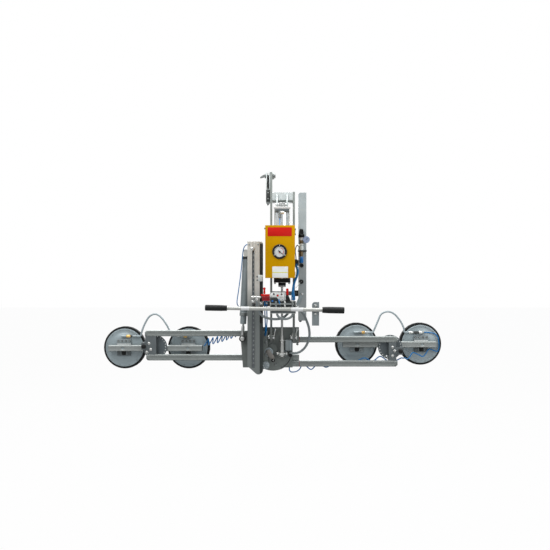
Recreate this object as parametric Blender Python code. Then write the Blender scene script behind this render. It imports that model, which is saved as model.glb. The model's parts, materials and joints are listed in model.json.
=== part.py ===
# Pneumatic vacuum lifter: a hanging frame with a tilting head, a turning cross frame,
# two telescopic arms and four suction cups. Metres, X to the right, +Y away from the
# operator (the way the cups face), +Z up. The origin is on the axis of the lifting pin.
import bpy
import bmesh
from math import atan2, cos, degrees, pi, radians, sin, sqrt
from mathutils import Vector

for old in list(bpy.data.objects):
    bpy.data.objects.remove(old, do_unlink=True)

# Sides of the round pins, and of the holes that they fit
PIN_SIDES = 16
THIN_PIN_SIDES = 10
SHAFT_SIDES = 20

# Clearances
GAP = 0.0003            # between pieces that touch or run on each other
LAP = 0.002             # how far a welded detail reaches into its piece

# Hanging frame
FRAME_DEPTH = 0.060     # front to back of the uprights and the cross beam
UPRIGHT_WIDTH = 0.0145
UPRIGHT_LEFT_X = -0.0190
UPRIGHT_RIGHT_X = 0.1355
FRAME_TOP_Z = 0.0227
BEAM_TOP_Z = -0.117
BEAM_HEIGHT = 0.067
HINGE_Z = -1.109        # tilt axis, along X through Y = 0
HINGE_EAR_R = 0.018
HINGE_PIN_R = 0.009
EAR_THICK = 0.008

# Lifting fork and pin
FORK_PLATE = 0.007
FORK_WIDTH = 0.028
FORK_DEPTH = 0.050
FORK_MOUTH_Z = -0.092
LIFT_PIN_R = 0.011

# Tilt cylinder
TILT_TOP = Vector((0.062, -0.060, -0.203))
LEVER_DROP = 0.120      # from the tilt axis down to the cylinder's lower pivot
TILT_BARREL_R = 0.0425
TILT_BORE_R = 0.0385
TILT_BARREL_END = 0.506
TILT_HEAD_END = 0.528
TILT_GLAND_END = 0.559
TILT_ROD_R = 0.008
TILT_CAP_HALF = 0.0560
TILT_CAP_DEPTH = 0.045
TRUNNION_R = 0.008

# Control box, cover and gauge
BOX_LOW = Vector((-0.0495, -0.250, -0.7026))
BOX_HIGH = Vector((0.1436, -0.140, -0.3612))
BOX_WALL = 0.002
GAUGE_X = 0.0437
GAUGE_Z = -0.5329
GAUGE_R = 0.0476
GAUGE_BODY_R = 0.034

# Side post and regulator
POST_X = 0.174
POST_WIDTH = 0.054
POST_DEPTH = 0.050
POST_TOP_Z = -0.1175
POST_BOTTOM_Z = -0.9917
BRIDGE_THICK = 0.0142
BRIDGE_HEIGHT = 0.028
BRIDGE_UPPER_Z = -0.596
BRIDGE_LOWER_Z = -0.806
REG_X = 0.193
REG_Y = -0.0455
REG_TOP_Z = -0.4268

# Handlebar, valves
BAR_Y = -0.235
BAR_R = 0.0125
BAR_LEFT_X = -0.440
BAR_RIGHT_X = 0.464
BAR_MID_Z = -0.9045
BAR_SLOPE = radians(1.09)
GRIP_LENGTH = 0.142
GRIP_LEFT_R = 0.0195
GRIP_RIGHT_R = 0.0215
YOKE_TOP_Z = -0.8505
YOKE_BOTTOM_Z = -0.935
YOKE_THICK = 0.016
PANEL_X = -0.0188
PANEL_WIDTH = 0.103
PANEL_HEIGHT = 0.054
PANEL_DEPTH = 0.034
LEVER_HUB_R = 0.008
BUTTON_R = 0.006

# Tilting head
TURN_Z = -1.187         # turn axis, along Y through X = 0
HEAD_Y = 0.040
HEAD_THICK = 0.008
HEAD_ARC_R = 0.155
HEAD_LEFT_X = -0.0837
HEAD_RIGHT_X = 0.1796
HEAD_WAIST_X = 0.1365
HEAD_TOP_Z = -1.040
TURN_SHAFT_R = 0.025

# Mast with the rotation cylinder
MAST_X = -0.1721
MAST_WIDTH = 0.083
MAST_Y = -0.080
MAST_DEPTH = 0.0695
MAST_TOP_Z = -0.4546
MAST_BOTTOM_Z = -1.2948
MAST_NOSE_Z = -1.3515
MAST_WALL = 0.004
SLOT_WIDTH = 0.014
RAIL_WIDTH = 0.021
FOOT_THICK = 0.0162
FOOT_NOSE_R = 0.0357
FOOT_TOP_Z = -1.070
ROT_TOP = Vector((-0.180, 0.019, -0.530))
ROT_LEVER = Vector((-0.2105, 0.019, -1.1173))
ROT_BARREL_R = 0.0265
ROT_BORE_R = 0.022
ROT_BARREL_END = 0.420
ROT_GLAND_END = 0.487
ROT_ROD_R = 0.008
ROT_PIN_R = 0.008

# Turning cross frame and arms
TURN_PLATE_THICK = 0.0117
TUBE = 0.040
TUBE_WALL = 0.003
ARM_Y = 0.085
PAIR_STEP = 0.0426      # the right pair lies this far below the left pair
LEFT_UPPER_Z = -1.0857
TUBE_PITCH = 0.1683     # upper tube to lower tube of one arm
SLEEVE_WALL = 0.0042
SLEEVE_WIDTH = 0.040
SLEEVE_LEFT_X = -0.165
SLEEVE_RIGHT_X = 0.0965
ARM_REACH_LEFT = 0.893
ARM_REACH_RIGHT = 0.868
ARM_INNER_LEFT = 0.182
ARM_INNER_RIGHT = -0.2083

# Cup bars, index discs and cups
PIVOT_LEFT_X = -0.830
PIVOT_RIGHT_X = 0.8235
PIVOT_Z = -1.184
PIVOT_R = 0.010
DISC_R = 0.0846
DISC_THICK = 0.008
INDEX_R = 0.068
INDEX_COUNT = 8
INDEX_PIN_R = 0.0045
INDEX_TRAVEL = 0.0070
CUP_BAR_HALF = 0.330
CUP_HALF = 0.2285
CUP_LINE_LEFT = -0.011  # cup line above or below the pivot
CUP_LINE_RIGHT = 0.0155
STEM_R = 0.008
CUP_PLATE_R = 0.1345
CUP_PLATE_THICK = 0.008
SEAL_R = 0.151
SEAL_DEPTH = 0.0325
CUP_SPRING_ROOM = 0.0095
FITTING_R = 0.0085
FITTING_STAND = 0.0160  # fitting axis in front of the cup plate, past the cup's travel

# Hoses
ARC_HOSE_R = 0.0065
LOOP_HOSE_R = 0.0082
BLUE_HOSE_R = 0.004
COIL_R = 0.024

frame_half = FRAME_DEPTH / 2
beam_bottom_z = BEAM_TOP_Z - BEAM_HEIGHT
left_inner_x = UPRIGHT_LEFT_X + UPRIGHT_WIDTH
right_outer_x = UPRIGHT_RIGHT_X + UPRIGHT_WIDTH
mast_right_x = MAST_X + MAST_WIDTH
mast_back_y = MAST_Y + MAST_DEPTH
head_back_y = HEAD_Y + HEAD_THICK
turn_front_y = head_back_y + GAP + 0.0002
turn_back_y = turn_front_y + TURN_PLATE_THICK
tube_half = TUBE / 2
tube_back_y = ARM_Y + tube_half
disc_y = tube_back_y + 0.0013
cup_bar_y = disc_y + DISC_THICK - 0.0003
cup_bar_back_y = cup_bar_y + TUBE
cup_hub_y = cup_bar_back_y + CUP_SPRING_ROOM
cup_plate_y = cup_hub_y + 0.0095
seal_y = cup_plate_y + CUP_PLATE_THICK + GAP
yoke_front_y = BAR_Y + BAR_R + GAP
left_upper_z = LEFT_UPPER_Z
left_lower_z = LEFT_UPPER_Z - TUBE_PITCH
right_upper_z = left_upper_z - PAIR_STEP
right_lower_z = left_lower_z - PAIR_STEP

finishes = {
    "zinc": ((0.55, 0.56, 0.54), 0.42, 0.8),
    "grey_paint": ((0.36, 0.38, 0.37), 0.5, 0.3),
    "dark_steel": ((0.10, 0.11, 0.11), 0.5, 0.5),
    "bright_steel": ((0.72, 0.73, 0.72), 0.25, 0.95),
    "yellow_paint": ((0.78, 0.47, 0.01), 0.4, 0.0),
    "black_plastic": ((0.02, 0.02, 0.02), 0.45, 0.0),
    "red_plastic": ((0.62, 0.02, 0.03), 0.35, 0.0),
    "rubber": ((0.025, 0.027, 0.027), 0.75, 0.0),
    "plate_blue_grey": ((0.50, 0.56, 0.58), 0.45, 0.3),
    "brass": ((0.65, 0.42, 0.14), 0.35, 0.9),
    "hose_grey": ((0.45, 0.50, 0.52), 0.5, 0.0),
    "hose_blue": ((0.02, 0.22, 0.60), 0.35, 0.0),
}


def finish(name):
    made = bpy.data.materials.get(name)
    if made is None:
        made = bpy.data.materials.new(name)
        made.use_nodes = True
        colour, roughness, metallic = finishes[name]
        shader = made.node_tree.nodes["Principled BSDF"]
        shader.inputs["Base Color"].default_value = (*colour, 1.0)
        shader.inputs["Roughness"].default_value = roughness
        shader.inputs["Metallic"].default_value = metallic
        made.diffuse_color = (*colour, 1.0)
    return made


def bore_r(pin_r, sides):
    """Radius of a faceted hole whose flats stay a gap clear of a pin that turns in it."""
    return (pin_r + GAP) / cos(pi / sides)


def settle(name, bm, look, smooth=False):
    """Close, orient and store a bmesh as one object."""
    bmesh.ops.recalc_face_normals(bm, faces=bm.faces[:])
    mesh = bpy.data.meshes.new(name)
    bm.to_mesh(mesh)
    bm.free()
    piece = bpy.data.objects.new(name, mesh)
    bpy.context.scene.collection.objects.link(piece)
    if look is None:
        piece.hide_render = True
        piece.display_type = "WIRE"
    else:
        mesh.materials.append(finish(look))
    if smooth:
        mesh.shade_smooth()
        mesh.set_sharp_from_angle(angle=radians(35))
    return piece


def slab(name, low, high, look=None):
    """A plain block between two corners."""
    bm = bmesh.new()
    bmesh.ops.create_cube(bm, size=1.0)
    low, high = Vector(low), Vector(high)
    for vert in bm.verts:
        vert.co = Vector([(low[i] + high[i]) / 2 + vert.co[i] * (high[i] - low[i]) for i in range(3)])
    return settle(name, bm, look)


def prism(name, outline, start, end, look=None, along="Y"):
    """An outline in the plane across an axis, extruded along that axis."""
    bm = bmesh.new()
    places = {"Y": lambda a, b, t: (a, t, b), "X": lambda a, b, t: (t, a, b)}
    put = places[along]
    near = [bm.verts.new(put(a, b, start)) for a, b in outline]
    far = [bm.verts.new(put(a, b, end)) for a, b in outline]
    bm.faces.new(near)
    bm.faces.new(far)
    count = len(outline)
    for i in range(count):
        j = (i + 1) % count
        bm.faces.new((near[i], near[j], far[j], far[i]))
    return settle(name, bm, look)


def arc(centre, radius, first, last, steps):
    """Points of an arc, angles in degrees."""
    points = []
    for i in range(steps + 1):
        angle = radians(first + (last - first) * i / steps)
        points.append((centre[0] + radius * cos(angle), centre[1] + radius * sin(angle)))
    return points


def turned(name, profile, start, direction, look=None, sides=14, ring=False):
    """A profile of (distance along, radius), turned about a line. A ring's profile is a closed loop."""
    axis = Vector(direction).normalized()
    turn = Vector((0, 0, 1)).rotation_difference(axis).to_matrix()
    base = Vector(start)
    bm = bmesh.new()
    rows = []
    for distance, radius in profile:
        if radius == 0:
            rows.append([bm.verts.new(base + turn @ Vector((0, 0, distance)))])
            continue
        row = []
        for k in range(sides):
            angle = 2 * pi * (k + 0.5) / sides
            row.append(bm.verts.new(base + turn @ Vector((radius * cos(angle), radius * sin(angle), distance))))
        rows.append(row)
    pairs = list(zip(rows, rows[1:]))
    if ring:
        pairs.append((rows[-1], rows[0]))
    for a, b in pairs:
        for k in range(sides):
            j = (k + 1) % sides
            if len(a) == 1:
                bm.faces.new((a[0], b[k], b[j]))
            elif len(b) == 1:
                bm.faces.new((a[k], a[j], b[0]))
            else:
                bm.faces.new((a[k], a[j], b[j], b[k]))
    return settle(name, bm, look, smooth=True)


def rod(name, start, end, radius, look=None, sides=12):
    """A plain round bar."""
    span = Vector(end) - Vector(start)
    profile = [(0, 0), (0, radius), (span.length, radius), (span.length, 0)]
    return turned(name, profile, start, span, look, sides)


def boolean(piece, tools, operation):
    for tool in tools:
        modifier = piece.modifiers.new(tool.name, "BOOLEAN")
        modifier.operation = operation
        modifier.solver = "EXACT"
        modifier.object = tool
    return piece


def cut(piece, *tools):
    return boolean(piece, tools, "DIFFERENCE")


def join(piece, *tools):
    return boolean(piece, tools, "UNION")


def pivot(name, place, angles=(0, 0, 0)):
    """An empty on a joint's axis, which the body's pieces hang on."""
    empty = bpy.data.objects.new(name, None)
    empty.location = place
    empty.rotation_euler = angles
    bpy.context.scene.collection.objects.link(empty)
    return empty


def hang(body, *pieces):
    """Parent pieces that were modelled in place, keeping them in place."""
    for piece in pieces:
        piece.parent = body
        piece.location = -body.location


def tool_name(owner, index=0):
    return f"{owner}_tool_{index}"


def smooth_route(points, spacing):
    """Points read at even steps along a smooth curve through the route's own points."""
    knots = [Vector(p) for p in points]
    ends = [2 * knots[0] - knots[1]] + knots + [2 * knots[-1] - knots[-2]]
    dense = []
    fine = 24
    for i in range(1, len(ends) - 2):
        a, b, c, d = ends[i - 1:i + 3]
        for k in range(fine):
            t = k / fine
            dense.append(0.5 * (2 * b + (c - a) * t + (2 * a - 5 * b + 4 * c - d) * t * t
                                + (3 * b - a - 3 * c + d) * t ** 3))
    dense.append(knots[-1])
    lengths = [0.0]
    for a, b in zip(dense, dense[1:]):
        lengths.append(lengths[-1] + (b - a).length)
    steps = max(4, round(lengths[-1] / spacing))
    picked = []
    j = 0
    for i in range(steps + 1):
        goal = lengths[-1] * i / steps
        while j < len(lengths) - 2 and lengths[j + 1] < goal:
            j += 1
        share = (goal - lengths[j]) / (lengths[j + 1] - lengths[j])
        picked.append(dense[j].lerp(dense[j + 1], min(max(share, 0), 1)))
    return picked


def hose(name, points, radius, look, steps_wide=5.0, roundness=2):
    """A tube along a route, as a curve with a round bevel and filled caps."""
    route = smooth_route(points, radius * steps_wide)
    lead = radius * 1.5
    route.insert(1, route[0] + (Vector(points[1]) - Vector(points[0])).normalized() * lead)
    route.insert(-1, route[-1] + (Vector(points[-2]) - Vector(points[-1])).normalized() * lead)
    curve = bpy.data.curves.new(name, "CURVE")
    curve.dimensions = "3D"
    curve.bevel_depth = radius
    curve.bevel_resolution = roundness
    curve.use_fill_caps = True
    spline = curve.splines.new("POLY")
    spline.points.add(len(route) - 1)
    for point, place in zip(spline.points, route):
        point.co = (*place, 1.0)
    piece = bpy.data.objects.new(name, curve)
    bpy.context.scene.collection.objects.link(piece)
    curve.materials.append(finish(look))
    return piece


def ear_outline(root_y, centre, radius, rise):
    """An ear in the Y-Z plane, from a plate at root_y to a round end about a centre."""
    y, z = centre
    side = 1 if root_y > y else -1
    if side > 0:
        nose = arc((y, z), radius, 90, 270, 8)
    else:
        nose = arc((y, z), radius, -90, 90, 8)
    return nose + [(root_y, nose[-1][1] - side * rise), (root_y, nose[0][1] + side * rise)]


# Hanging frame


def make_upright(name, x, standoff_zs, has_pin):
    top = FRAME_TOP_Z if has_pin else BEAM_TOP_Z + 0.004
    outline = [(frame_half, top), (-frame_half, top)] + arc((0, HINGE_Z), frame_half, 180, 360, 10)
    piece = prism(name, outline, x, x + UPRIGHT_WIDTH, "zinc", along="X")
    reach = BOX_HIGH.y + GAP
    for i, z in enumerate(standoff_zs):
        join(piece, slab(tool_name(name, i), (x, reach, z - 0.012), (x + UPRIGHT_WIDTH, -frame_half + LAP, z + 0.012)))
    across = (-0.01, 0, 0), (0.04, 0, 0)
    hinge_hole = [Vector((x, 0, HINGE_Z)) + Vector(end) for end in across]
    cut(piece, rod(tool_name(name, 8), *hinge_hole, bore_r(HINGE_PIN_R, PIN_SIDES), sides=PIN_SIDES))
    if has_pin:
        cut(piece, rod(tool_name(name, 9), (x - 0.01, 0, 0), (x + 0.04, 0, 0), LIFT_PIN_R + GAP, sides=PIN_SIDES))
    return piece


def make_cross_beam():
    low = (left_inner_x + GAP, -frame_half, beam_bottom_z)
    high = (UPRIGHT_RIGHT_X - GAP, frame_half, BEAM_TOP_Z)
    piece = slab("cross_beam", low, high, "zinc")
    centre = (TILT_TOP.y, TILT_TOP.z)
    outline = arc(centre, TRUNNION_R * 1.9, 135, 330, 8)
    outline += [(-frame_half + LAP, beam_bottom_z + 0.010), (-frame_half + LAP, BEAM_TOP_Z - 0.012),
                (-frame_half - 0.012, BEAM_TOP_Z - 0.012)]
    for i, side in enumerate((-1, 1)):
        x = TILT_TOP.x + side * 0.034 - EAR_THICK / 2
        ear = prism(tool_name("cross_beam", i), outline, x, x + EAR_THICK, along="X")
        join(piece, ear)
    reach = Vector((0.06, 0, 0))
    cut(piece, rod(tool_name("cross_beam", 5), TILT_TOP - reach, TILT_TOP + reach, bore_r(TRUNNION_R, PIN_SIDES), sides=PIN_SIDES))
    return piece


def make_lifting_fork():
    right = UPRIGHT_LEFT_X - GAP
    left = right - FORK_WIDTH
    half = FORK_DEPTH / 2
    outline = [(left, FRAME_TOP_Z), (left + FORK_PLATE, FRAME_TOP_Z), (left + FORK_PLATE, FORK_MOUTH_Z),
               (right - FORK_PLATE, FORK_MOUTH_Z), (right - FORK_PLATE, FRAME_TOP_Z), (right, FRAME_TOP_Z),
               (right, beam_bottom_z), (left + FORK_WIDTH * 0.35, beam_bottom_z - 0.019), (left, beam_bottom_z)]
    piece = prism("lifting_fork", outline, -half, half, "grey_paint")
    span = (left - 0.01, 0, 0), (right + 0.01, 0, 0)
    cut(piece, rod(tool_name("lifting_fork"), *span, LIFT_PIN_R + GAP, sides=PIN_SIDES))
    return piece


def make_lifting_pin():
    head = left_inner_x + GAP
    tail = UPRIGHT_LEFT_X - GAP - FORK_WIDTH - GAP
    profile = [(-0.008, 0), (-0.008, 0.017), (0, 0.017), (0, LIFT_PIN_R), (head - tail, LIFT_PIN_R),
               (head - tail, 0.0235), (head - tail + 0.012, 0.0235), (head - tail + 0.012, 0.015),
               (head - tail + 0.022, 0.015), (head - tail + 0.022, 0)]
    piece = turned("lifting_pin", profile, (tail, 0, 0), (1, 0, 0), "bright_steel", sides=PIN_SIDES)
    wing = [(tail - 0.006, -0.009), (tail - 0.038, -0.017), (tail - 0.041, -0.009), (tail - 0.020, 0.006),
            (tail - 0.006, 0.009)]
    join(piece, prism(tool_name("lifting_pin"), wing, -0.004, 0.004))
    return piece


def make_side_post():
    chamfer = 0.010
    left, right = POST_X, POST_X + POST_WIDTH
    outline = [(left, POST_BOTTOM_Z), (right, POST_BOTTOM_Z), (right, POST_TOP_Z), (left + chamfer, POST_TOP_Z),
               (left, POST_TOP_Z - chamfer)]
    half = POST_DEPTH / 2
    piece = prism("side_post", outline, -half, half, "grey_paint")
    back = frame_half + GAP
    for i, z in enumerate((BRIDGE_UPPER_Z, BRIDGE_LOWER_Z)):
        low_z, high_z = z - BRIDGE_HEIGHT / 2, z + BRIDGE_HEIGHT / 2
        pad = slab(tool_name("side_post", i), (left + LAP, half - LAP, low_z), (right - LAP, back + LAP, high_z))
        bar = slab(tool_name("side_post", i + 2), (UPRIGHT_LEFT_X, back, low_z), (right - 2 * LAP, back + BRIDGE_THICK, high_z))
        join(piece, pad, bar)
    for i, (x, z, radius) in enumerate(((POST_X + 0.021, -0.6188, 0.007), (POST_X + 0.020, -0.7259, 0.012))):
        cut(piece, rod(tool_name("side_post", i + 5), (x, -half - 0.01, z), (x, half * 0.4, z), radius, sides=12))
    return piece


# Control box, gauge and regulator


def make_control_box():
    front = BOX_LOW.y + BOX_WALL + GAP
    piece = slab("control_box", (BOX_LOW.x, front, BOX_LOW.z), BOX_HIGH, "yellow_paint")
    inner_low = (BOX_LOW.x + BOX_WALL, front - 0.01, BOX_LOW.z + BOX_WALL)
    inner_high = (BOX_HIGH.x - BOX_WALL, BOX_HIGH.y - BOX_WALL, BOX_HIGH.z - BOX_WALL)
    return cut(piece, slab(tool_name("control_box"), inner_low, inner_high))


def make_box_cover():
    high = (BOX_HIGH.x, BOX_LOW.y + BOX_WALL, BOX_HIGH.z)
    piece = slab("box_cover", BOX_LOW, high, "yellow_paint")
    hole = rod(tool_name("box_cover"), (GAUGE_X, BOX_LOW.y - 0.01, GAUGE_Z), (GAUGE_X, BOX_LOW.y + 0.02, GAUGE_Z),
               GAUGE_BODY_R + GAP, sides=24)
    return cut(piece, hole)


def make_ejector():
    back = BOX_HIGH.y - BOX_WALL - GAP
    piece = slab("vacuum_ejector", (0.000, back - 0.045, -0.665), (0.090, back, -0.620), "bright_steel")
    silencer = rod(tool_name("vacuum_ejector"), (0.088, back - 0.022, -0.6425), (0.130, back - 0.022, -0.6425), 0.014)
    return join(piece, silencer)


def make_gauge():
    front = -0.0105
    face = -0.0045
    profile = [(face, 0), (face, GAUGE_R - 0.009), (front, GAUGE_R - 0.008), (front - 0.001, GAUGE_R - 0.006),
               (front + 0.004, GAUGE_R), (-GAP, GAUGE_R), (-GAP, GAUGE_BODY_R), (0.036, GAUGE_BODY_R), (0.036, 0)]
    case = turned("gauge_case", profile, (GAUGE_X, BOX_LOW.y, GAUGE_Z), (0, 1, 0), "black_plastic", sides=24)
    hub = pivot("gauge_pivot", (GAUGE_X, BOX_LOW.y + face, GAUGE_Z))
    needle_y = BOX_LOW.y + face - GAP
    needle = rod("gauge_needle", (GAUGE_X, needle_y, GAUGE_Z), (GAUGE_X, needle_y - 0.003, GAUGE_Z), 0.005, "black_plastic", 10)
    lean = radians(-45)
    along, across = Vector((cos(lean), sin(lean))), Vector((-sin(lean), cos(lean)))
    centre = Vector((GAUGE_X, GAUGE_Z))
    corners = [centre - along * 0.010 + across * 0.002, centre + along * 0.031, centre - along * 0.010 - across * 0.002]
    pointer = prism(tool_name("gauge_needle"), [tuple(c) for c in corners], needle_y - 0.0022, needle_y - 0.0010)
    join(needle, pointer)
    hang(hub, needle)
    return case, needle


def make_regulator():
    top = REG_TOP_Z
    profile = [(0, 0), (0, 0.0102), (0.044, 0.0102), (0.044, 0.0152), (0.0915, 0.0152), (0.0915, 0.0102),
               (0.131, 0.0102), (0.131, 0.0085), (0.1725, 0.0085), (0.1725, 0)]
    piece = turned("regulator", profile, (REG_X, REG_Y, top), (0, 0, -1), "brass", sides=12)
    block_back = -POST_DEPTH / 2 - GAP
    join(piece, slab(tool_name("regulator"), (REG_X - 0.012, REG_Y, top - 0.086), (REG_X + 0.012, block_back, top - 0.050)))
    gauge_x, gauge_z = REG_X + 0.0335, top - 0.0143
    neck = rod(tool_name("regulator", 1), (REG_X, REG_Y, gauge_z), (gauge_x, REG_Y - 0.010, gauge_z), 0.005, sides=8)
    dial = rod(tool_name("regulator", 2), (gauge_x, REG_Y - 0.020, gauge_z), (gauge_x, REG_Y - 0.006, gauge_z), 0.019, sides=16)
    join(piece, neck, dial)
    knob_base = pivot("regulator_pivot", (REG_X, REG_Y, top + GAP))
    knob_profile = [(0, 0), (0, 0.0150), (0.018, 0.0150), (0.020, 0.0135), (0.058, 0.0135), (0.0588, 0.011), (0.0588, 0)]
    knob = turned("regulator_knob", knob_profile, (REG_X, REG_Y, top + GAP), (0, 0, 1), "black_plastic", sides=12)
    hang(knob_base, knob)
    return piece, knob


# Handlebar and valves


def bar_point(x, off=0.0):
    """A point on the handlebar's sloping axis."""
    return Vector((x, BAR_Y, BAR_MID_Z - x * sin(BAR_SLOPE) + off))


def make_handlebar():
    slope = bar_point(1.0) - bar_point(0.0)
    rod("handlebar", bar_point(BAR_LEFT_X + 0.006), bar_point(BAR_RIGHT_X - 0.006), BAR_R, "bright_steel", 16)
    bore = BAR_R + GAP
    for name, x, way, radius in (("grip_left", BAR_LEFT_X, 1, GRIP_LEFT_R),
                                 ("grip_right", BAR_RIGHT_X, -1, GRIP_RIGHT_R)):
        profile = [(0, 0), (0, radius - 0.003), (0.004, radius), (0.100, radius), (GRIP_LENGTH, radius - 0.002),
                   (GRIP_LENGTH, bore), (0.006 - GAP, bore), (0.006 - GAP, 0)]
        turned(name, profile, bar_point(x), slope * way, "black_plastic", sides=16)


def make_valve_panel():
    front = yoke_front_y
    back = front + YOKE_THICK
    piece = slab("valve_panel", (UPRIGHT_LEFT_X, front, YOKE_BOTTOM_Z), (right_outer_x, back, YOKE_TOP_Z), "bright_steel")
    for i, x in enumerate((UPRIGHT_LEFT_X, UPRIGHT_RIGHT_X)):
        arm = slab(tool_name("valve_panel", i), (x, back - LAP, YOKE_BOTTOM_Z + 0.01),
                   (x + UPRIGHT_WIDTH, -frame_half - GAP, YOKE_BOTTOM_Z + 0.04))
        join(piece, arm)
    block = slab(tool_name("valve_panel", 4), (PANEL_X, front - 0.003, YOKE_TOP_Z - LAP),
                 (PANEL_X + PANEL_WIDTH, front - 0.003 + PANEL_DEPTH, YOKE_TOP_Z + PANEL_HEIGHT))
    join(piece, block)
    well = button_place()
    cut(piece, rod(tool_name("valve_panel", 5), well - Vector((0, 0.02, 0)), well + Vector((0, 0.010, 0)), BUTTON_R + GAP, sides=12))
    return piece


def button_place():
    return Vector((PANEL_X + 0.050, yoke_front_y - 0.003, YOKE_TOP_Z + PANEL_HEIGHT * 0.62))


def make_push_button():
    place = button_place()
    base = pivot("button_pivot", place)
    piece = rod("push_button", place - Vector((0, 0.006, 0)), place + Vector((0, 0.0065, 0)), BUTTON_R, "red_plastic", 12)
    hang(base, piece)
    return piece


def make_lever(name, hub, axle, height, tip_r):
    """A stick with a ball end on a round hub. axle is half of the hub, along the hinge."""
    base = pivot(name + "_pivot", hub)
    piece = rod(name, hub - axle, hub + axle, LEVER_HUB_R, "red_plastic", 12)
    tip_z = height - tip_r
    stick = [(0, 0), (0, 0.0045), (tip_z, 0.0045), (tip_z + 0.002, tip_r), (height + tip_r * 0.4, tip_r * 0.85),
             (height + tip_r, 0)]
    join(piece, turned(tool_name(name), stick, hub, (0, 0, 1), sides=10))
    hang(base, piece)
    return piece


def make_valves():
    right = PANEL_X - GAP
    top = YOKE_TOP_Z + 0.0425
    y = yoke_front_y + 0.014
    body = slab("vacuum_valve", (right - 0.0587, y - 0.018, top - 0.0446), (right, y + 0.018, top), "red_plastic")
    fitting = [(0, 0), (0, 0.010), (0.014, 0.010), (0.014, 0.0065), (0.030, 0.0065), (0.030, 0.011), (0.044, 0.011),
               (0.044, 0.008), (0.066, 0.008), (0.066, 0)]
    join(body, turned(tool_name("vacuum_valve"), fitting, (right - 0.1225, y, top - 0.020), (1, 0, 0), sides=12))
    make_lever("vacuum_lever", Vector((right - 0.0364, y, top + LEVER_HUB_R + GAP)), Vector((0, 0.007, 0)), 0.030, 0.0055)
    left = PANEL_X + PANEL_WIDTH + GAP
    boot_top = YOKE_TOP_Z + 0.0232
    slab("tilt_valve", (left, y - 0.016, YOKE_TOP_Z + GAP), (left + 0.033, y + 0.016, boot_top), "rubber")
    make_lever("tilt_lever", Vector((left + 0.010, y, boot_top + LEVER_HUB_R + GAP)), Vector((0.007, 0, 0)), 0.042, 0.0065)


def make_side_bracket():
    low, high = Vector((0.2554, yoke_front_y, -1.0135)), Vector((0.3018, yoke_front_y + 0.004, -0.8595))
    chamfer = 0.012
    outline = [(low.x, low.z), (high.x, low.z), (high.x, high.z), (low.x + chamfer, high.z), (low.x, high.z - chamfer)]
    piece = prism("side_bracket", outline, low.y, high.y, "grey_paint")
    flange = slab(tool_name("side_bracket"), (high.x - 0.004, low.y, low.z), (high.x, low.y + 0.028, high.z))
    return join(piece, flange)


# Tilt cylinder, modelled along its own axis and turned to the lever


tilt_lever = Vector((TILT_TOP.x, 0.0, HINGE_Z - LEVER_DROP))
tilt_length = (tilt_lever - TILT_TOP).length
tilt_lean = atan2(tilt_lever.y - TILT_TOP.y, TILT_TOP.z - tilt_lever.z)
rot_length = (ROT_LEVER - ROT_TOP).length
rot_lean = atan2(ROT_TOP.x - ROT_LEVER.x, ROT_TOP.z - ROT_LEVER.z)


def down(name, profile, look=None, sides=14):
    """Turned piece along local -Z, from the pivot at the local origin."""
    return turned(name, profile, (0, 0, 0), (0, 0, -1), look, sides)


def carry(base, piece, tools):
    """Put a locally modelled piece and its tools on a pivot."""
    for item in [piece] + tools:
        item.parent = base


def make_tilt_cylinder():
    base = pivot("tilt_cylinder_pivot", TILT_TOP, (tilt_lean, 0, 0))
    name = "tilt_cylinder"
    half, deep = TILT_CAP_HALF, TILT_CAP_DEPTH
    cap_top, cap_end = TRUNNION_R * 2 + 0.0010, 0.0325
    piece = down(name, [(cap_end - LAP, 0), (cap_end - LAP, TILT_BARREL_R), (TILT_BARREL_END, TILT_BARREL_R),
                        (TILT_BARREL_END, 0.0255), (TILT_GLAND_END, 0.0255), (TILT_GLAND_END, 0)], "bright_steel", 20)
    eye = slab(tool_name(name, 0), (-0.022, -0.012, -cap_top - LAP), (0.022, 0.012, 0.012))
    trunnion = rod(tool_name(name, 1), (-0.042, 0, 0), (0.042, 0, 0), TRUNNION_R, sides=PIN_SIDES)
    cap = slab(tool_name(name, 2), (-half, -deep, -cap_end), (half, deep, -cap_top))
    head = slab(tool_name(name, 3), (-half, -deep, -TILT_HEAD_END), (half, deep, -TILT_BARREL_END + LAP))
    tools = [eye, trunnion, cap, head]
    for i, (x, y) in enumerate(((-1, -1), (-1, 1), (1, -1), (1, 1))):
        x, y = x * (half - 0.006), y * (deep - 0.008)
        tie = rod(tool_name(name, 4 + i), (x, y, -TILT_BARREL_END - LAP), (x, y, -cap_end + LAP), 0.0045, sides=6)
        tools.append(tie)
    join(piece, *tools)
    bore = down(tool_name(name, 9), [(cap_end + 0.012, 0), (cap_end + 0.012, TILT_BORE_R), (TILT_HEAD_END - 0.01, TILT_BORE_R),
                                     (TILT_HEAD_END - 0.01, TILT_ROD_R + GAP), (TILT_GLAND_END + 0.01, TILT_ROD_R + GAP),
                                     (TILT_GLAND_END + 0.01, 0)], sides=16)
    cut(piece, bore)
    carry(base, piece, tools + [bore])
    return piece


def make_tilt_rod():
    base = pivot("tilt_rod_pivot", TILT_TOP, (tilt_lean, 0, 0))
    name = "tilt_rod"
    piston = TILT_HEAD_END - 0.034
    collar = tilt_length - 0.133
    piece = down(name, [(piston, 0), (piston, TILT_BORE_R - GAP - 0.0007), (piston + 0.020, TILT_BORE_R - GAP - 0.0007),
                        (piston + 0.020, TILT_ROD_R), (collar, TILT_ROD_R), (collar, 0.0125), (tilt_length - 0.012, 0.0125),
                        (tilt_length - 0.012, 0)], "bright_steel", 16)
    eye = rod(tool_name(name, 0), (-0.010, 0, -tilt_length), (0.010, 0, -tilt_length), 0.016)
    pin = rod(tool_name(name, 1), (-0.0160, 0, -tilt_length), (0.0160, 0, -tilt_length), 0.008, sides=12)
    join(piece, eye, pin)
    carry(base, piece, [eye, pin])
    return piece


# Tilting head


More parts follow.
